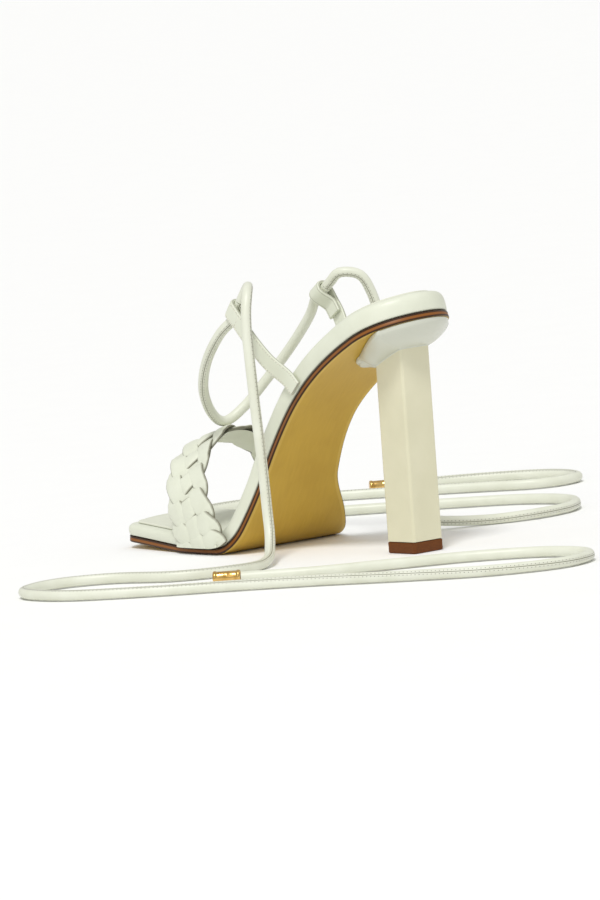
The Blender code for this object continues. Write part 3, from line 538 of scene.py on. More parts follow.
slabPlan = dict(across=33, body=150, corner=14)
heelTurns = np.radians(np.linspace(3, 90, 22))
toeTurns = np.radians(np.linspace(0, 90, slabPlan["corner"]))
heelStations = sole["heelRound"] * (1 - np.cos(heelTurns)) / sole["length"]
toeStations = 1 - sole["toeCorner"] * (1 - np.sin(toeTurns)) / sole["length"]
bodyStations = np.linspace(heelStations[-1], toeStations[0], slabPlan["body"])[1:-1]
stations = np.concatenate([heelStations, bodyStations, toeStations])
acrossShare = np.linspace(-1.0, 1.0, slabPlan["across"])


# The outline's grid in the sole's own surface: length along it, and x across. The toe's
# front edge bows forward by a parabola.
def planGrid():
    outer = -halfWidth(stations, -1)
    inner = halfWidth(stations, 1)
    across = outer[:, None] + (inner - outer)[:, None] * (acrossShare[None, :] + 1) / 2
    fade = np.clip((stations - sole["bowFrom"]) / (1 - sole["bowFrom"]), 0.0, 1.0) ** 2
    bow = sole["toeBow"] * fade[:, None] * (1 - acrossShare[None, :] ** 2)
    return np.stack([stations[:, None] * sole["length"] + bow, across], -1)


def borderRing(rows, columns):
    first = np.stack([np.arange(rows), np.zeros(rows, int)], -1)
    second = np.stack([np.full(columns - 1, rows - 1), np.arange(1, columns)], -1)
    third = np.stack([np.arange(rows - 2, -1, -1), np.full(rows - 1, columns - 1)], -1)
    fourth = np.stack([np.zeros(columns - 2, int), np.arange(columns - 2, 0, -1)], -1)
    return np.concatenate([first, second, third, fourth])


# The outline pushed in along its own normals. Its rows are spread again from the new back
# to the new toe, and each is as wide as the pushed in sides are there.
def insetGrid(grid, distance):
    rows, columns = grid.shape[:2]
    ring = borderRing(rows, columns)
    edge = grid[ring[:, 0], ring[:, 1]]
    ahead = np.roll(edge, -1, 0) - np.roll(edge, 1, 0)
    normal = unit(np.stack([ahead[:, 1], -ahead[:, 0]], -1))
    if normal[rows // 2, 1] < 0:
        normal = -normal
    moved = edge + normal * distance
    outer = moved[:rows]
    inner = moved[rows + columns - 2:2 * rows + columns - 2][::-1]
    part = (stations - stations[0]) / (stations[-1] - stations[0])
    back = (outer[0, 0] + inner[0, 0]) / 2
    along = back + ((outer[-1, 0] + inner[-1, 0]) / 2 - back) * part
    outerX = np.interp(along, outer[:, 0], outer[:, 1])
    innerX = np.interp(along, inner[:, 0], inner[:, 1])
    across = outerX[:, None] + (innerX - outerX)[:, None] * (acrossShare[None, :] + 1) / 2
    bow = grid[..., 0] - grid[:, :1, 0]
    return np.stack([along[:, None] + bow, across], -1)


# How far the top is hollowed for the foot: a parabola across, growing from the heel and
# fading before the ball
def dishAt(share, across):
    half = np.where(across < 0, halfWidth(share, -1), halfWidth(share, 1)) - sole["dishEdge"]
    fade = np.clip((sole["dishEnd"] - share) / sole["dishFade"], 0.0, 1.0)
    rise = np.clip((share * sole["length"] - sole["dishEdge"]) / sole["dishBack"], 0.0, 1.0)
    bowl = np.clip(1 - (across / np.maximum(half, 0.002)) ** 2, 0.0, 1.0)
    return sole["dish"] * fade * rise * (2 - rise) * bowl


# A slab that follows the sole. Its layers go from below to above, each with an inset, a lift
# and a mark. The first and the last are filled, and rings join all of them. Layers from
# dishFrom on are hollowed for the foot.
def soleSlab(name, layers, finish, dishFrom=99, markName="rim"):
    grid = planGrid()
    rows, columns = grid.shape[:2]
    ring = borderRing(rows, columns)
    flat = ring[:, 0] * columns + ring[:, 1]
    points, faces, rings, marks = [], [], [], []
    start = 0
    for number, layer in enumerate(layers):
        inset = insetGrid(grid, layer["inset"])
        share = inset[..., 0] / sole["length"]
        last = number == len(layers) - 1
        lift = layer["lift"](share)
        if number >= dishFrom:
            lift = lift - dishAt(share, inset[..., 1])
        placed = onSole(share, inset[..., 1], lift).reshape(-1, 3)
        if number == 0 or last:
            quads = gridFaces(rows, columns, start=start)
            faces.append(quads if last else quads[:, ::-1])
            rings.append(start + flat)
        else:
            placed = placed[flat]
            rings.append(start + np.arange(len(flat)))
        mark = np.full(len(placed), layer.get("mark", 0.0))
        if number == 0:
            mark[:] = 0.0
            mark[flat] = layer.get("mark", 0.0)
        points.append(placed)
        marks.append(mark)
        start += len(placed)
    for lower, upper in zip(rings, rings[1:]):
        faces.append(np.stack([lower, np.roll(lower, -1), np.roll(upper, -1), upper], -1))
    piece = putMesh(name, np.concatenate(points), faces, finish, marks={markName: np.concatenate(marks)},
                    sharpAngle=50.0)
    return faceOutwards(piece)


def constantLift(value):
    return lambda share: np.full(share.shape, value)


def bedLift(part, above=0.0):
    return lambda share: sole["hard"] + sole["gap"] + sole["bed"] * soleValue("bed", share) * part + above


# Hard sole: its edge stands upright between two small rounds, with a shallow groove burnished
# under the upper rim
hardSole = dict(rounding=0.00045, groove=0.00022, band=0.0020)


def makeOutsole():
    thick = sole["hard"]
    soft = hardSole["rounding"]
    deep = hardSole["groove"]
    # the third numbers are the rim mark, which puts the edge's painted shade lines on both rounds and the
    # groove
    profile = [(hardSole["band"] * 1.25, 0.0, 0.0), (hardSole["band"], 0.0, 0.5), (soft * 2, 0.0, 0.5),
               (soft, 0.0, 0.9), (soft * 0.3, soft * 0.3, 1.02),
               (0.0, soft, 1.12), (0.0, thick * 0.30, 1.28), (0.00006, thick * 0.36, 1.36),
               (0.00006, thick * 0.62, 1.64), (deep, thick * 0.70, 1.72), (deep, thick * 0.76, 1.78),
               (0.0, thick * 0.84, 1.86), (soft * 0.3, thick - soft * 0.3, 1.96), (soft, thick, 2.0)]
    layers = [dict(inset=inset, lift=constantLift(lift), mark=mark) for inset, lift, mark in profile]
    piece = soleSlab("outsole_piece", layers, soleFinish)
    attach(piece, "root")
    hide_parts("outsole")
    return piece


# Footbed wrapped in leather. Its edge follows the section's rows (inset from the outline,
# share of the thickness), run through by a smooth curve.
bedSection = dict(steps=15, paintedShade=0.05, shadeMark=0.9, rows=[
    dict(t=0.0, inset=0.0010, part=0.000), dict(t=0.12, inset=0.0002, part=0.045),
    dict(t=0.28, inset=-0.0001, part=0.18), dict(t=0.48, inset=-0.0003, part=0.45),
    dict(t=0.66, inset=-0.0001, part=0.70), dict(t=0.78, inset=0.0006, part=0.86),
    dict(t=0.88, inset=0.0016, part=0.955), dict(t=0.95, inset=0.0028, part=0.992),
    dict(t=1.0, inset=0.0042, part=1.0)])


def makeFootbed():
    t = np.linspace(0, 1, bedSection["steps"])
    inset = throughRows(t, bedSection["rows"], "t", "inset")
    part = throughRows(t, bedSection["rows"], "t", "part")
    # painted shade at the foot of the wrapped edge, where it turns under towards the hard sole
    mark = np.clip(1 - part / bedSection["paintedShade"], 0.0, 1.0) * bedSection["shadeMark"]
    layers = [dict(inset=float(a), lift=bedLift(float(b)), mark=float(c))
              for a, b, c in zip(inset, part, mark)]
    piece = soleSlab("footbed_piece", layers, leather, dishFrom=1, markName="crease")
    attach(piece, "root")
    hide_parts("footbed")
    return piece


# Thin sock glued on the footbed, its cut edge slightly rounded and pressed down
def makeSock():
    base = sole["gap"]
    top = sole["gap"] + sole["sock"]
    margin = sole["sockMargin"]
    profile = [(margin, base), (margin, base + sole["sock"] * 0.5),
               (margin + 0.00012, base + sole["sock"] * 0.82),
               (margin + 0.0004, top - 0.00004), (margin + 0.0010, top)]
    layers = [dict(inset=inset, lift=bedLift(1.0, above)) for inset, above in profile]
    piece = soleSlab("sock_piece", layers, sockLeather, dishFrom=0)
    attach(piece, "root")
    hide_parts("insole")
    return piece


# Heel: a rectangular column, and a cap that is nearly flush with the sole's edge round the
# back, then drawn in to a nose ahead of the column. A fade is where it starts behind the
# column's front, and its run. Lengths in metres, turns in degrees.
heel = dict(width=0.0182, depth=0.0195, back=0.0125, corner=0.0014, lean=0.0014, topPiece=0.0053,
            rim=0.0016, capDepth=0.0105, inset=0.0004, nose=0.0142, noseLow=0.0130,
            backTurn=46, sideTurn=54, lead=0.0045, trail=0.0020,
            noseHalf=0.0118, noseCorner=0.0064, noseDepth=0.0036, fillet=0.0006, noseFillet=0.0034,
            seatGap=0.0002, fullness=1.45, noseFullness=0.95, side=26, turn=9,
            capOver=0.0002, lowCorner=0.9, lowHalf=0.95, widenFrom=0.001, filletFade=(0.002, 0.008),
            fullFade=(0.006, 0.012), rimShare=0.25, filletShare=0.7, seatEdge=0.0002, sunk=0.0024,
            footInset=0.0004, footEdge=0.00015, tipOver=0.0001)


# Ring of a block: straight sides and quarter circles, in eight stretches
def blockRing(half, back, front, backCorner, frontCorner):
    t = np.linspace(0, 1, heel["side"], endpoint=False)
    arc = np.linspace(0, math.pi / 2, heel["turn"], endpoint=False)
    cosine, sine = np.cos(arc), np.sin(arc)
    b, f = backCorner, frontCorner
    stretches = [
        ((half - b) * (1 - 2 * t), np.full(len(t), back)),
        (-(half - b) - b * sine, back + b - b * cosine),
        (np.full(len(t), -half), back + b + (front - back - b - f) * t),
        (-(half - f) - f * cosine, front - f + f * sine),
        (-(half - f) * (1 - 2 * t), np.full(len(t), front)),
        ((half - f) + f * sine, front - f + f * cosine),
        (np.full(len(t), half), front - f - (front - back - b - f) * t),
        ((half - b) + b * cosine, back + b - b * sine)]
    return np.concatenate([np.stack(pair, -1) for pair in stretches])


def columnRing(inset=0.0):
    return blockRing(heel["width"] / 2 - inset, heel["back"] + inset,
                     heel["back"] + heel["depth"] - inset, heel["corner"], heel["corner"])


# The seat's outline in the same eight stretches: an arc round the back, a soft curve on each
# side that leaves the sole's edge and runs in to the nose, and the nose's round front
def seatRing(inset):
    nose = heel["back"] + heel["depth"] + heel["nose"]
    half = heel["noseHalf"]
    soft = heel["noseCorner"]
    backTurn, sideTurn = heel["backTurn"], heel["sideTurn"]
    t = np.linspace(0, 1, heel["side"], endpoint=False)
    u = np.linspace(0, 1, heel["turn"], endpoint=False)

    def backArc(angle):
        angle = np.radians(angle)
        forward = sole["heelRound"] * (1 - np.cos(angle))
        share = shareAt(forward * math.cos(lineSlope[0]))
        width = np.where(angle > 0, halfWidth(share, 1), -halfWidth(share, -1))
        return width * (1 - inset / sole["heelRound"]), forward + inset

    def sideRun(part, side):
        turn = math.radians(sideTurn)
        forward = sole["heelRound"] * (1 - math.cos(turn)) + inset
        width = float(halfWidth(shareAt(forward), side)) * (1 - inset / sole["heelRound"])
        hull = np.array([(width, forward),
                         (width + heel["lead"] * math.cos(turn), forward + heel["lead"] * math.sin(turn)),
                         (half, nose - soft - heel["trail"]), (half, nose - soft)])
        rest = 1 - part
        place = np.stack([rest ** 3, 3 * rest ** 2 * part, 3 * rest * part ** 2, part ** 3], -1) @ hull
        return side * place[:, 0], place[:, 1]

    arc = u * math.pi / 2
    stretches = [
        backArc(backTurn * (1 - 2 * t)), backArc(-backTurn - (sideTurn - backTurn) * u), sideRun(t, -1),
        (-(half - soft) - soft * np.cos(arc), nose - soft + soft * np.sin(arc)),
        (-(half - soft) + (2 * half - 2 * soft) * t, np.full(len(t), nose)),
        ((half - soft) + soft * np.sin(arc), nose - soft + soft * np.cos(arc)),
        sideRun(1 - t, 1), backArc(sideTurn - (sideTurn - backTurn) * u)]
    return np.concatenate([np.stack(pair, -1) for pair in stretches])


# A closed body from rings of the same count, with a height for each point
def ringBody(levels):
    count = len(levels[0][0])
    points = np.concatenate([np.stack([backX + ring[:, 0], backY + ring[:, 1],
                                       np.broadcast_to(height, count)], -1) for ring, height in levels])
    return points, tubeFaces(len(levels), count)


# The cap falls from its rim to the nose on a full curve: plan and height follow the cosine
# and sine of one angle, each raised to the fullness. Its lower edge is rounded, most at the
# nose. The column comes out of it in a crease and runs to the tip.
def makeHeel():
    frontY = heel["back"] + heel["depth"]
    seat = seatRing(heel["inset"])
    half = heel["width"] / 2 + heel["capOver"]
    nose = blockRing(half, heel["back"] - heel["capOver"], frontY + heel["noseLow"], heel["corner"],
                     heel["noseCorner"] * heel["lowCorner"])

    def fadeAhead(behind, run):
        return smoothStep((nose[:, 1] - frontY + behind) / run)

    widen = fadeAhead(heel["widenFrom"], heel["noseLow"])
    nose[:, 0] *= 1 + (heel["noseHalf"] * heel["lowHalf"] / half - 1) * widen
    centre = np.array([0.0, frontY - heel["depth"] / 2 + heel["nose"] / 3])

    def underCap(ring):
        flat = underSole(np.minimum(ring[:, 1], frontY)) - heel["capDepth"]
        return np.minimum(flat, underSole(ring[:, 1]) - heel["noseDepth"])

    ahead = np.roll(nose, -1, 0) - np.roll(nose, 1, 0)
    inwards = unit(np.stack([ahead[:, 1], -ahead[:, 0]], -1))
    inwards = inwards * np.sign(((centre - nose) * inwards).sum(-1).mean())
    soft = heel["fillet"] + (heel["noseFillet"] - heel["fillet"]) * fadeAhead(*heel["filletFade"])
    seatTop = underSole(seat[:, 1]) - heel["seatGap"]
    room = seatTop - underCap(nose)
    rimZ = seatTop - np.minimum(heel["rim"] / math.cos(lineSlope[0]), heel["rimShare"] * room)
    soft = np.minimum(soft, heel["filletShare"] * (rimZ - underCap(nose)))
    noseZ = underCap(nose) + soft
    cap = []
    for part in (0.004, 0.3, 0.6, 0.85, 0.995):
        ring = centre + (seat - centre) * part
        cap.append((ring, underSole(ring[:, 1]) - heel["seatGap"]))
    cap += [(seat, seatTop - heel["seatEdge"]), (seat, rimZ)]
    full = heel["fullness"] + (heel["noseFullness"] - heel["fullness"]) * fadeAhead(*heel["fullFade"])
    for angle in np.radians(np.linspace(0, 90, 20))[1:]:
        ease = 1 - math.cos(angle) ** full
        fall = math.sin(angle) ** full
        cap.append((seat * (1 - ease)[:, None] + nose * ease[:, None], rimZ * (1 - fall) + noseZ * fall))
    for angle in np.radians([20, 40, 60, 80, 90]):
        ring = nose + inwards * (soft * (1 - math.cos(angle)))[:, None]
        cap.append((ring, underCap(ring) + soft * (1 - math.sin(angle))))
    last = cap[-1][0]
    for part in (0.6, 0.2, 0.004):
        ring = centre + (last - centre) * part
        cap.append((ring, underCap(ring)))
    neck = columnRing()
    neckZ = underCap(neck) + heel["sunk"]
    foot = heel["topPiece"] + sole["gap"]
    middle = np.array([0.0, heel["back"] + heel["depth"] / 2])
    column = []
    for part in (0.01, 0.5):
        ring = middle + (neck - middle) * part
        column.append((ring, underCap(ring) + heel["sunk"]))
    for part in np.linspace(0, 1, 14):
        column.append((neck + [0.0, heel["lean"] * part], neckZ * (1 - part) + foot * part))
    column.append((columnRing(heel["footInset"]) + [0.0, heel["lean"]], foot - heel["footEdge"]))
    capPoints, capFaces = ringBody(cap)
    columnPoints, columnFaces = ringBody(column)
    # the cap's points carry the painted shade, the column's none
    shade = np.concatenate([np.ones(len(capPoints)), np.zeros(len(columnPoints))])
    faces = capFaces + [part + len(capPoints) for part in columnFaces]
    piece = putMesh("heel_piece", np.concatenate([capPoints, columnPoints]), faces, heelFinish,
                    marks={"cap": shade}, sharpAngle=32.0)
    faceOutwards(piece)
    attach(piece, "root")
    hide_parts("heel")
    return piece


# Heel tip: the column's ring with a small bevel above and below, and a shallow waist
def makeTip():
    tall = heel["topPiece"]
    profile = [(0.0030, 0.0), (0.0006, 0.0), (0.00018, 0.00018), (0.0, 0.0006), (0.00005, tall * 0.5),
               (0.0, tall - 0.0005), (0.00016, tall - 0.00014), (0.0006, tall), (0.0030, tall)]
    rings = [(columnRing(inset - heel["tipOver"]) + [0.0, heel["lean"]], height)
             for inset, height in profile]
    points, faces = ringBody(rings)
    piece = faceOutwards(putMesh("tip_piece", points, faces, tipFinish, sharpAngle=35.0))
    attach(piece, "root")
    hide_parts("top_piece")
    return piece


# Plaited vamp strap. Rows run from the outer side over the foot to the inner side: how far
# it has come in over the half width, the places of its edges, and their heights as shares.
vamp = dict(rise=0.0480, clear=0.0006, strips=4, share=0.33, swings=2.86, start=-0.046, thick=0.0019,
            weave=0.00080, base=0.0001, lining=0.0006, stations=460, around=36,
            paintedShade=0.9, sideFrom=0.026, liningShare=0.45, liningEdge=(0.08, 0.25), rows=[
                dict(along=0.00, inward=0.000, front=0.750, back=0.556, frontRise=0.00, backRise=0.00),
                dict(along=0.16, inward=0.000, front=0.766, back=0.588, frontRise=0.36, backRise=0.24),
                dict(along=0.32, inward=0.210, front=0.802, back=0.655, frontRise=0.76, backRise=0.66),
                dict(along=0.50, inward=1.000, front=0.850, back=0.712, frontRise=0.93, backRise=1.10),
                dict(along=0.68, inward=1.790, front=0.850, back=0.712, frontRise=0.76, backRise=0.78),
                dict(along=0.84, inward=2.000, front=0.815, back=0.672, frontRise=0.36, backRise=0.36),
                dict(along=1.00, inward=2.000, front=0.785, back=0.645, frontRise=0.00, backRise=0.00)])


# Place on the inner face of the vamp strap: along from the outer to the inner side, across
# from its front edge (0) to its back edge (1)
def vampPlace(along, across):
    rows = vamp["rows"]
    inward = throughRows(along, rows, "along", "inward")
    front = throughRows(along, rows, "along", "front")
    back = throughRows(along, rows, "along", "back")
    rise = (throughRows(along, rows, "along", "frontRise") * (1 - across)
            + throughRows(along, rows, "along", "backRise") * across)
    forward = (front + (back - front) * across) * planLength
    foot = np.where(along < 0.5, rows[0]["front"] + (rows[0]["back"] - rows[0]["front"]) * across,
                    rows[-1]["front"] + (rows[-1]["back"] - rows[-1]["front"]) * across)
    share = shareAt(forward)
    outer = halfWidth(share, -1) + vamp["clear"]
    inner = halfWidth(share, 1) + vamp["clear"]
    x = np.where(inward < 1, -outer * (1 - inward), inner * (inward - 1))
    fade = np.clip(1 - np.abs(1 - inward), 0, 1)
    ground = overSole(foot * planLength) * (1 - fade) + (sole["hard"] + sole["gap"]) * fade
    return np.stack([backX + x, backY + forward, ground + rise * vamp["rise"]], -1)


def vampNormal(along, across):
    step = 0.002
    alongWay = vampPlace(along + step, across) - vampPlace(along - step, across)
    acrossWay = vampPlace(along, across + step) - vampPlace(along, across - step)
    normal = unit(np.cross(alongWay, acrossWay))
    outward = normal[..., :1] * np.sign(np.asarray(along)[..., None] - 0.5)
    return np.where(normal[..., 2:] + 0.6 * outward < 0, -normal, normal)


# At the sides, nothing of the strap lies lower than just over the hard sole's upper face
def aboveSole(points):
    floor = overSole(points[..., 1] - backY)
    side = np.abs(points[..., 0] - backX) > vamp["sideFrom"]
    points[..., 2] = np.where(side, np.maximum(points[..., 2], floor), points[..., 2])
    return points


# One strip: its middle swings from edge to edge as a sine with flattened turns, its height
# swings three times as fast, so that it rides over one strip and under the next. Across, a
# section like a flattened egg is carried square to the strip's own way, on the strap's face.
strip = dict(past=0.035, flat=0.05, ride=1.5, step=0.002, half=(0.0046, 0.0062), narrow=0.96,
             wideBow=0.70, tallBow=0.95, above=0.62, below=0.38, tuck=0.004, crease=0.00012,
             creases=14, endFade=0.05, shadeFrom=0.84, shadeRun=0.14, weld=0.00001)


def makeStrip(number):
    along = np.linspace(-strip["past"], 1 + strip["past"], vamp["stations"])
    phase = 2 * math.pi * (along * vamp["swings"] + vamp["start"] + number / vamp["strips"])
    swing = (np.sin(phase) - strip["flat"] * np.sin(3 * phase)) / (1 + strip["flat"])
    across = (1 - vamp["share"]) * swing
    over = np.sin((vamp["strips"] - 1) * (phase - math.pi / 2))
    over = np.tanh(strip["ride"] * over) / math.tanh(strip["ride"])
    acrossPlace = (across + 1) / 2
    middle = vampPlace(along, acrossPlace)
    normal = vampNormal(along, acrossPlace)
    way = unit(np.gradient(middle, axis=0))
    sideWay = unit(np.cross(normal, way))
    step = strip["step"]
    perAlong = (vampPlace(along + step, acrossPlace) - vampPlace(along - step, acrossPlace)) / (2 * step)
    perAcross = (vampPlace(along, acrossPlace + step) - vampPlace(along, acrossPlace - step)) / (2 * step)
    aa = (perAlong ** 2).sum(-1)
    bb = (perAcross ** 2).sum(-1)
    ab = (perAlong * perAcross).sum(-1)
    sa = (perAlong * sideWay).sum(-1)
    sb = (perAcross * sideWay).sum(-1)
    square = aa * bb - ab ** 2
    alongStep = (sa * bb - sb * ab) / square
    acrossStep = (sb * aa - sa * ab) / square
    whole = vampPlace(along, np.ones_like(along)) - vampPlace(along, np.zeros_like(along))
    halfStrap = np.linalg.norm(whole, axis=-1) / 2
    half = np.clip(halfStrap * vamp["share"], *strip["half"]) * strip["narrow"]
    angle = np.linspace(0, 2 * math.pi, vamp["around"], endpoint=False)
    wide = np.sign(np.cos(angle)) * np.abs(np.cos(angle)) ** strip["wideBow"]
    tall = np.sign(np.sin(angle)) * np.abs(np.sin(angle)) ** strip["tallBow"]
    tall = np.where(tall > 0, tall * strip["above"], tall * strip["below"])
    alongGrid = np.clip(along[:, None] + alongStep[:, None] * wide * half[:, None], 0.0, 1.0)
    acrossGrid = acrossPlace[:, None] + acrossStep[:, None] * wide * half[:, None]
    tuck = np.exp(-(np.abs(swing) - 1) ** 2 / strip["tuck"])
    ripple = np.sin(alongGrid * vamp["swings"] * 2 * math.pi * strip["creases"] + number) * (tall > 0)
    crease = tuck[:, None] * strip["crease"] * ripple
    ends = np.clip(np.minimum(alongGrid, 1 - alongGrid) / strip["endFade"], 0.0, 1.0)
    weave = vamp["base"] + vamp["weave"] * (1 + over[:, None]) * (0.5 + 0.5 * ends)
    height = weave + vamp["thick"] * (strip["below"] + tall[None, :]) + crease
    points = vampPlace(alongGrid, acrossGrid) + vampNormal(alongGrid, acrossGrid) * height[..., None]
    points = aboveSole(points)
    # painted shade: darker along each strip's upper edges, in the grooves between strips, and over its
    # whole underside
    rim = np.clip((np.abs(wide) - strip["shadeFrom"]) / strip["shadeRun"], 0.0, 1.0)
    turned = np.where(np.sin(angle) > 0, rim, 1.0) * vamp["paintedShade"]
    paintedShade = np.broadcast_to(turned[None, :], points.shape[:2]).ravel()
    piece = putMesh("vamp_strip_%d" % (number + 1), points.reshape(-1, 3),
                    tubeFaces(len(along), len(angle)), leather,
                    uv=tubeUv(angle / (2 * math.pi), runLength(middle)),
                    marks={"crease": paintedShade}, sharpAngle=60.0)
    faceOutwards(piece, strip["weld"])
    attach(piece, "root")
    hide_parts("vamp_braid")
    return piece


# Lining under the strips: the strap's inner face with a thin wall, a little narrower
def makeVampLining():
    along = np.linspace(0, 1, 180)[:, None]
    t = np.linspace(0, 1, 24)[None, :]
    swings = 2 * math.pi * (along * vamp["swings"] + vamp["start"] + np.arange(vamp["strips"])[None, :]
                            / vamp["strips"])
    reach = ((1 - vamp["share"]) * np.abs(np.sin(swings))).max(axis=1, keepdims=True)
    reach = reach + vamp["share"] * vamp["liningShare"]
    across = -reach + 2 * reach * t
    alongGrid = np.broadcast_to(along, across.shape)
    inner = vampPlace(alongGrid, (across + 1) / 2)
    normal = vampNormal(alongGrid, (across + 1) / 2)
    run, thinnest = vamp["liningEdge"]
    edge = np.clip(np.minimum(t, 1 - t) / run, thinnest, 1.0)
    outer = aboveSole(inner + normal * (vamp["lining"] * edge)[..., None])
    rows, columns = across.shape
    half = rows * columns
    ring = borderRing(rows, columns)
    flat = ring[:, 0] * columns + ring[:, 1]
    sides = np.stack([np.roll(flat, -1), flat, flat + half, np.roll(flat, -1) + half], -1)
    points = np.concatenate([outer.reshape(-1, 3), inner.reshape(-1, 3)])
    faces = [gridFaces(rows, columns), gridFaces(rows, columns, start=half)[:, ::-1], sides]
    piece = faceOutwards(putMesh("vamp_lining", points, faces, sockLeather))
    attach(piece, "root")
    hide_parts("vamp_braid")
    return piece


# Side straps. Their rows give a share of the rise, of the forward reach, and of the flare
# away from the sole's edge.
strap = dict(width=0.0090, wall=0.0018, tail=0.0170, tailClose=0.0082, seam=0.0050, lift=0.0008,
             cord=0.0050, stitchMm=2.1, stitchGapMm=0.5, threadMm=0.42, stitchIn=0.76, stations=61,
             tailStations=34, pinch=0.05, pinchBelow=0.0075, pinchHalf=0.0035, firstStitch=0.0016,
             overLoop=2.2, rowLift=0.80)
sideStraps = {
    "side_strap_lateral": dict(side=-1, share=0.284, rise=0.0365, reach=0.0440, flare=0.0020, path=[
        dict(up=0.00, forward=0.00, out=0.0), dict(up=0.14, forward=0.12, out=0.1),
        dict(up=0.34, forward=0.35, out=0.9), dict(up=0.56, forward=0.56, out=1.0),
        dict(up=0.78, forward=0.77, out=0.5), dict(up=1.00, forward=1.00, out=-0.4)]),
    "side_strap_medial": dict(side=1, share=0.300, rise=0.0420, reach=0.0400, flare=0.0110, path=[
        dict(up=0.00, forward=0.00, out=0.00), dict(up=0.13, forward=0.16, out=0.03),
        dict(up=0.32, forward=0.42, out=0.36), dict(up=0.52, forward=0.62, out=0.68),
        dict(up=0.76, forward=0.80, out=0.92), dict(up=1.00, forward=0.98, out=0.95)]),
}
loopRadius = strap["cord"] / 2 + sole["gap"] + strap["wall"] / 2


def strapLine(plan, count=strap["stations"]):
    side = plan["side"]
    reach = strap["width"] / 2 / sole["length"]
    widest = halfWidth(plan["share"] + np.linspace(-reach, reach, 5), side).max()
    edge = side * (float(widest) + sole["gap"] + sole["bulge"] + strap["wall"] / 2)
    base = onSole(np.array(plan["share"]), edge, sole["hard"] + sole["gap"] + strap["lift"])
    route = [base + np.array([side * row["out"] * plan["flare"], row["forward"] * plan["reach"],
                              row["up"] * plan["rise"]]) for row in plan["path"]]
    return smoothRoute(route, count)


# Along the strap, and outwards at right angles to it
def strapFrame(line, side):
    tangent = unit(np.gradient(line, axis=0))
    away = np.array([side, 0.0, 0.0])
    return tangent, unit(away - tangent * (tangent @ away)[:, None])


# Middle of the lace where it passes through a strap's loop, and the way it runs there
def loopCentre(plan):
    line = strapLine(plan, 15)
    tangent, outward = strapFrame(line, plan["side"])
    forward = np.cross(tangent[-1], outward[-1]) * plan["side"]
    if forward[1] < 0:
        forward = -forward
    return line[-1] - outward[-1] * loopRadius, forward


# Middle line of the whole strap: up the outer layer, half a circle round the lace, and down
# the folded tail, which closes on the outer layer by a smooth step
def foldedLine(plan):
    line = strapLine(plan)
    tangent, outward = strapFrame(line, plan["side"])
    centre, _ = loopCentre(plan)
    turn = np.radians(np.linspace(0, 180, 26)[1:-1])[:, None]
    spokes = np.cos(turn) * outward[-1] + np.sin(turn) * tangent[-1]
    length = runLength(line)
    down = np.linspace(0.0, strap["tail"] - loopRadius, strap["tailStations"])
    at = readAlong(length[-1] - down, length, line)
    out = unit(readAlong(length[-1] - down, length, outward))
    ease = smoothStep(down / strap["tailClose"])[:, None]
    tail = at - out * (2 * loopRadius * (1 - ease) + (strap["wall"] + sole["gap"]) * ease)
    places = np.concatenate([line, centre + loopRadius * spokes, tail])
    spokes = np.concatenate([outward, spokes, -out])
    way = unit(np.gradient(places, axis=0))
    across = unit(np.cross(way, spokes))
    return places, way, across, np.cross(across, way)


# Section of the strap: a flat band with round edges, and a furrow pulled in by each row of
# stitches. x is across, from -1 to 1, and y through the wall, from -1 to 1.
band = dict(points=33, furrow=0.20, furrowHalf=0.055, square=12, crown=0.10, above=0.92, below=0.96)


def strapSection():
    side = np.linspace(-1, 1, band["points"])
    furrow = band["furrow"] * np.exp(-((np.abs(side) - strap["stitchIn"]) / band["furrowHalf"]) ** 2)
    shoulder = (1 - np.abs(side) ** band["square"]) ** 0.5
    crown = band["crown"] * (1 - side ** 2)
    top = np.stack([side, (band["above"] + crown - furrow) * shoulder], -1)
    bottom = np.stack([side[::-1], -(band["below"] - furrow[::-1] * 0.5) * shoulder[::-1]], -1)
    return np.concatenate([top[:-1], bottom[:-1]])


# Stitches as small rounded grains, half sunk, each turned to its row's way and the surface
stitch = dict(rows=7, around=8, tip=0.02, blunt=0.45)


def stitchMesh(name, places, ways, normals, lengths):
    rows, around = stitch["rows"], stitch["around"]
    thick = strap["threadMm"] / 1000
    t = np.linspace(stitch["tip"], math.pi - stitch["tip"], rows)
    angle = np.linspace(0, 2 * math.pi, around, endpoint=False)
    body = np.abs(np.sin(t)) ** stitch["blunt"]
    along = -np.cos(t)[:, None] * np.ones(around)[None, :]
    across = body[:, None] * np.cos(angle)[None, :]
    above = body[:, None] * np.sin(angle)[None, :]
    sideways = unit(np.cross(normals, ways))
    points = (places[:, None, None, :]
              + along[None, ..., None] * (ways * lengths[:, None] / 2)[:, None, None, :]
              + across[None, ..., None] * (sideways * thick / 2)[:, None, None, :]
              + above[None, ..., None] * (normals * thick / 2)[:, None, None, :])
    each = rows * around
    starts = np.arange(len(places)) * each
    quads = (gridFaces(rows, around, closeColumns=True)[None] + starts[:, None, None]).reshape(-1, 4)
    firstCap = (np.arange(around)[None, ::-1] + starts[:, None])
    lastCap = ((rows - 1) * around + np.arange(around)[None, :] + starts[:, None])
    piece = putMesh(name, points.reshape(-1, 3), [quads, firstCap, lastCap], threadFinish, sharpAngle=70.0)
    faceOutwards(piece)
    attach(piece, "root")
    return piece


# How strongly painted shade darkens the stitch furrows and the cut edges, and three stitches
# across below the lace
strapShade = dict(furrowHalf=0.07, furrow=0.45, edgeFrom=0.95, edge=0.55)
crossRow = dict(count=3, seamShare=0.7, up=0.0020, pitch=0.0020, long=0.0017, lift=0.96)


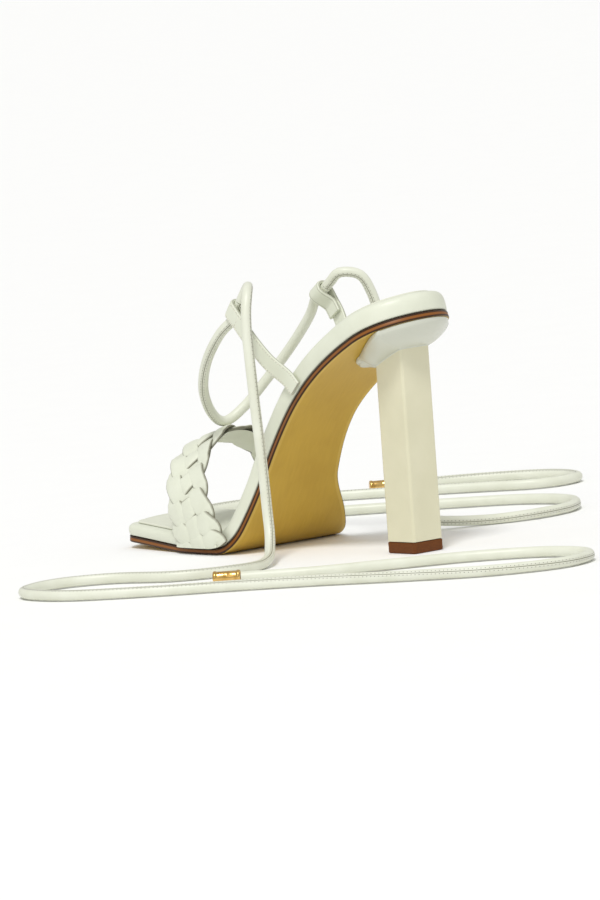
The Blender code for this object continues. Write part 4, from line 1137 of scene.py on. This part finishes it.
def makeStrap(name, plan):
    places, way, across, spokes = foldedLine(plan)
    section = strapSection()
    half = strap["width"] / 2
    wall = strap["wall"] / 2
    length = runLength(places)
    loopStart = length[strap["stations"] - 1]
    fromPinch = (length - loopStart + strap["pinchBelow"]) / strap["pinchHalf"]
    pinch = 1 - strap["pinch"] * np.exp(-fromPinch ** 2)
    points = (places[:, None, :]
              + across[:, None, :] * (section[:, 0] * half)[None, :, None] * pinch[:, None, None]
              + spokes[:, None, :] * (section[:, 1] * wall)[None, :, None])
    # painted shade in the stitch furrows and along the cut edges
    besideRow = np.abs(np.abs(section[:, 0]) - strap["stitchIn"])
    furrow = np.clip(1 - besideRow / strapShade["furrowHalf"], 0.0, 1.0) * strapShade["furrow"]
    furrow = furrow * (section[:, 1] > 0)
    past = (np.abs(section[:, 0]) - strapShade["edgeFrom"]) / (1 - strapShade["edgeFrom"])
    cutEdgeShade = np.clip(past, 0.0, 1.0) * strapShade["edge"]
    paintedShade = np.broadcast_to(np.maximum(furrow, cutEdgeShade)[None, :], points.shape[:2]).ravel()
    piece = putMesh(name + "_piece", points.reshape(-1, 3), tubeFaces(len(places), len(section)), leather,
                    uv=tubeUv(np.linspace(0, 1, len(section)), length), marks={"crease": paintedShade},
                    sharpAngle=55.0)
    faceOutwards(piece)
    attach(piece, "root")
    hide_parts(name)
    # two rows along the edges of the outer layer, over the fold, and one row across below the lace
    pitch = (strap["stitchMm"] + strap["stitchGapMm"]) / 1000
    spots = np.arange(strap["firstStitch"], loopStart + loopRadius * strap["overLoop"], pitch)
    centreAt = readAlong(spots, length, places)
    wayAt, acrossAt, normalAt = (unit(readAlong(spots, length, part)) for part in (way, across, spokes))
    sets = []
    for side in (-1, 1):
        rowAt = centreAt + acrossAt * side * half * strap["stitchIn"] + normalAt * wall * strap["rowLift"]
        sets.append((rowAt, wayAt, normalAt, np.full(len(spots), strap["stitchMm"] / 1000)))
    crossSpot = (loopStart - (strap["tail"] - loopRadius) + strap["seam"] * crossRow["seamShare"]
                 + crossRow["up"])
    crossPlace = readAlong(crossSpot, length, places)
    crossWay, crossNormal = (unit(readAlong(crossSpot, length, part)) for part in (across, spokes))
    count = crossRow["count"]
    steps = (np.arange(count) - (count - 1) / 2) * crossRow["pitch"]
    sets.append((crossPlace + crossWay * steps[:, None] + crossNormal * wall * crossRow["lift"],
                 np.repeat(crossWay[None], count, 0), np.repeat(crossNormal[None], count, 0),
                 np.full(count, crossRow["long"])))
    stitchMesh(name + "_stitches", *(np.concatenate([row[k] for row in sets]) for k in range(4)))
    return piece


# The lace. Rows of its bar lie between the loops and the plait's top: the drop, the way
# forward and the way out from the middle, as shares.
bar = dict(front=0.757, wall=0.0014, relief=0.0020, past=0.0012, points=52, rows=[
    dict(drop=0.20, forward=0.26, across=1.07), dict(drop=0.43, forward=0.53, across=1.02),
    dict(drop=0.68, forward=0.78, across=0.78), dict(drop=0.90, forward=0.94, across=0.40)])
# Free ends, point by point in metres: out of the loop and down beside the shoe, then over the
# floor, where every point has the same height
lace = dict(straight=0.0032, points=76, aglet=0.0130, agletWidth=0.0062, agletAround=48,
            agletClear=0.0001, around=28, fine=5, furrow=0.10, furrowHalf=0.022, weld=0.000005,
            onFloor=0.0028)
laceLateral = dict(
    down=[
        (-0.0286, -0.0070, 0.1286), (-0.0328, -0.0124, 0.1290), (-0.0382, -0.0166, 0.1232),
        (-0.0418, -0.0194, 0.1112), (-0.0436, -0.0220, 0.0950), (-0.0450, -0.0248, 0.0730),
        (-0.0462, -0.0278, 0.0480), (-0.0486, -0.0316, 0.0240), (-0.0540, -0.0380, 0.0086)],
    floor=[
        (-0.0692, -0.0509), (-0.0930, -0.0565), (-0.1179, -0.0424), (-0.1324, -0.0135),
        (-0.1573, 0.0006), (-0.1836, -0.0109), (-0.1845, -0.0422), (-0.1628, -0.0749),
        (-0.1355, -0.1044), (-0.1096, -0.1355), (-0.0863, -0.1695), (-0.0603, -0.2006),
        (-0.0283, -0.2156), (-0.0020, -0.2042), (-0.0009, -0.1758), (-0.0238, -0.1474),
        (-0.0562, -0.1266), (-0.0856, -0.1085), (-0.1112, -0.0831)])
laceMedial = dict(
    down=[
        (0.0270, -0.0114, 0.1296), (0.0314, -0.0164, 0.1296), (0.0368, -0.0190, 0.1226),
        (0.0404, -0.0204, 0.1100), (0.0424, -0.0210, 0.0920), (0.0438, -0.0216, 0.0680),
        (0.0454, -0.0224, 0.0430), (0.0486, -0.0236, 0.0200), (0.0566, -0.0254, 0.0068)],
    floor=[
        (0.0801, -0.0363), (0.1049, -0.0476), (0.1344, -0.0444), (0.1543, -0.0220),
        (0.1512, 0.0076), (0.1296, 0.0375), (0.1038, 0.0657), (0.0780, 0.0939),
        (0.0619, 0.1270), (0.0657, 0.1584), (0.0966, 0.1630), (0.1305, 0.1410),
        (0.1592, 0.1101), (0.1838, 0.0775), (0.2038, 0.0518), (0.2292, 0.0533),
        (0.2347, 0.0806), (0.2116, 0.1118), (0.1790, 0.1353)])


def barRoute():
    outerLoop, outerWay = loopCentre(sideStraps["side_strap_lateral"])
    innerLoop, innerWay = loopCentre(sideStraps["side_strap_medial"])
    reach = strap["width"] / 2 + bar["past"]
    crest = vamp["rows"][len(vamp["rows"]) // 2]
    front, back = crest["front"], crest["back"]
    across = (front - bar["front"]) / (front - back)
    rest = vampPlace(np.array([0.5]), np.array([across]))[0]
    rest = rest + np.array([0, 0, bar["wall"] + bar["relief"] + strap["cord"] / 2 + sole["gap"]])
    halves = []
    for loop, way in ((outerLoop, outerWay), (innerLoop, innerWay)):
        rows = [loop + way * reach * part for part in (-1, -0.5, 0, 0.5, 1)]
        rows += [np.array([backX + (loop[0] - backX) * row["across"],
                           loop[1] + (rest[1] - loop[1]) * row["forward"],
                           loop[2] + (rest[2] - loop[2]) * row["drop"]]) for row in bar["rows"]]
        halves.append(rows)
    return halves[0] + [rest] + halves[1][::-1]


# Frames carried along a path without twist: each is the last one, turned with the path
def carriedFrames(path, first):
    way = unit(np.gradient(path, axis=0))
    sides = [unit(first - way[0] * (first @ way[0]))]
    for here in way[1:]:
        side = sides[-1] - here * (sides[-1] @ here)
        sides.append(side / np.linalg.norm(side))
    sides = np.array(sides)
    return way, sides, np.cross(way, sides)


# Rolled cord: a circle carried along the path, with a furrow where its seam runs. twist
# turns the seam slowly round the cord on its way.
def cordTube(name, path, twist, first=(0.0, 0.0, 1.0)):
    fine = smoothRoute(path, len(path) * lace["fine"])
    way, side, up = carriedFrames(fine, np.array(first))
    angle = np.linspace(0, 2 * math.pi, lace["around"] + 1)
    share = angle / (2 * math.pi)
    besideSeam = (share - cordLeather["seamAt"]) / lace["furrowHalf"]
    radius = strap["cord"] / 2 * (1 - lace["furrow"] * np.exp(-besideSeam ** 2))
    length = runLength(fine)
    turned = angle[None, :] + twist[0] + twist[1] * length[:, None]
    points = fine[:, None, :] + radius[None, :, None] * (np.cos(turned)[..., None] * side[:, None, :]
                                                         + np.sin(turned)[..., None] * up[:, None, :])
    piece = putMesh(name, points.reshape(-1, 3), tubeFaces(*turned.shape, closeColumns=False), cordFinish,
                    uv=tubeUv(share, length), sharpAngle=70.0)
    faceOutwards(piece, lace["weld"])
    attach(piece, "root")
    return piece, fine


# Metal end: a turned sleeve with a rolled lip at each end, a waist line and a closed tip.
# Its rows are the way along and the radius, as shares.
agletRows = [(0.0, 0.78), (0.012, 0.90), (0.035, 0.985), (0.075, 1.0), (0.115, 0.985), (0.14, 0.93),
             (0.155, 0.90), (0.18, 0.905), (0.48, 0.915), (0.50, 0.885), (0.52, 0.915), (0.82, 0.905),
             (0.845, 0.90), (0.86, 0.93), (0.885, 0.985), (0.925, 1.0), (0.965, 0.985), (0.988, 0.90),
             (1.0, 0.78), (0.994, 0.55), (0.990, 0.15)]


def makeAglet(name, start, way):
    side = unit(np.cross(way, [0, 0, 1.0]))
    up = np.cross(side, way)
    radius = lace["agletWidth"] / 2
    start = start + np.array([0, 0, radius - start[2] + lace["agletClear"]])
    along, wide = np.array(agletRows).T * [[lace["aglet"]], [radius]]
    angle = np.linspace(0, 2 * math.pi, lace["agletAround"], endpoint=False)
    ring = np.cos(angle)[:, None] * side + np.sin(angle)[:, None] * up
    points = start + way * along[:, None, None] + ring[None] * wide[:, None, None]
    piece = putMesh(name + "_piece", points.reshape(-1, 3), tubeFaces(len(along), len(angle)), metalFinish,
                    uv=tubeUv(angle / (2 * math.pi), along), sharpAngle=50.0)
    faceOutwards(piece)
    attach(piece, "root")
    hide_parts(name)
    return piece


def makeLace():
    route = barRoute()
    cordBar, _ = cordTube("lace_bar_piece", smoothRoute(route, bar["points"]), (2.2, 0.0))
    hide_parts("lace_bar")
    for name, plan, loop, inside, twist in (("lateral", laceLateral, route[0], route[1], (2.6, 5.0)),
                                            ("medial", laceMedial, route[-1], route[-2], (0.9, -4.0))):
        way = unit(loop - inside)
        start = loop + way * sole["gap"]
        points = plan["down"] + [(x, y, lace["onFloor"]) for x, y in plan["floor"]]
        cord = smoothRoute([start, start + way * lace["straight"]] + points, lace["points"] - 1)
        cord = np.vstack([start, start + way * lace["straight"], cord[1:]])
        piece, fine = cordTube("lace_%s_piece" % name, cord, twist)
        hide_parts("lace_end_" + name)
        endWay = unit(cord[-1] - cord[-2])
        aglet = makeAglet("aglet_" + name, cord[-1] + endWay * sole["gap"], endWay)


makeLace()
print("stage: lace")
makeOutsole()
makeFootbed()
makeSock()
print("stage: sole")
makeHeel()
makeTip()
print("stage: heel")
makeVampLining()
for stripNumber in range(vamp["strips"]):
    makeStrip(stripNumber)
print("stage: plait")
for strapName, strapPlan in sideStraps.items():
    makeStrap(strapName, strapPlan)
print("stage: side straps")

# Studio: one wide sheet of pale paper under an even pale surround, a broad sun like soft
# light from above the camera's left, and a low panel that gives the lacquer its highlight
studio = dict(floor=60.0, below=0.0001, surround=0.62, pale="#FBFBFA", aim=(0.0, 0.0, 0.05), away=3.0,
              sun=dict(azimuth=308.0, elevation=60.0, power=1.65, spread=14.0),
              panel=dict(place=(-1.9, -1.0, 0.9), size=1.1, power=3.0))


def makeStudio():
    half = studio["floor"] / 2
    corners = [(-half, -half, 0.0), (half, -half, 0.0), (half, half, 0.0), (-half, half, 0.0)]
    floor = putMesh("studio_floor", np.array(corners) - [0, 0, studio["below"]], [np.array([[0, 1, 2, 3]])],
                    paperMaterial())
    world = bpy.data.worlds.new("surround")
    world.use_nodes = True
    background = world.node_tree.nodes["Background"]
    background.inputs["Color"].default_value = hexColour(studio["pale"])
    background.inputs["Strength"].default_value = studio["surround"]
    bpy.context.scene.world = world
    plan = studio["sun"]
    azimuth, elevation = math.radians(plan["azimuth"]), math.radians(plan["elevation"])
    away = Vector((math.sin(azimuth) * math.cos(elevation), -math.cos(azimuth) * math.cos(elevation),
                   math.sin(elevation)))
    sun = bpy.data.lights.new("soft_sun", "SUN")
    sun.energy = plan["power"]
    sun.angle = math.radians(plan["spread"])
    panel = bpy.data.lights.new("panel", "AREA")
    panel.shape = "DISK"
    panel.size = studio["panel"]["size"]
    panel.energy = studio["panel"]["power"]
    for lamp, place in ((sun, away * studio["away"]), (panel, Vector(studio["panel"]["place"]))):
        made = bpy.data.objects.new(lamp.name, lamp)
        bpy.context.scene.collection.objects.link(made)
        made.location = place
        made.rotation_euler = (Vector(studio["aim"]) - place).to_track_quat("-Z", "Y").to_euler()


makeStudio()
bpy.context.scene.view_settings.view_transform = "Standard"
print("stage: studio")
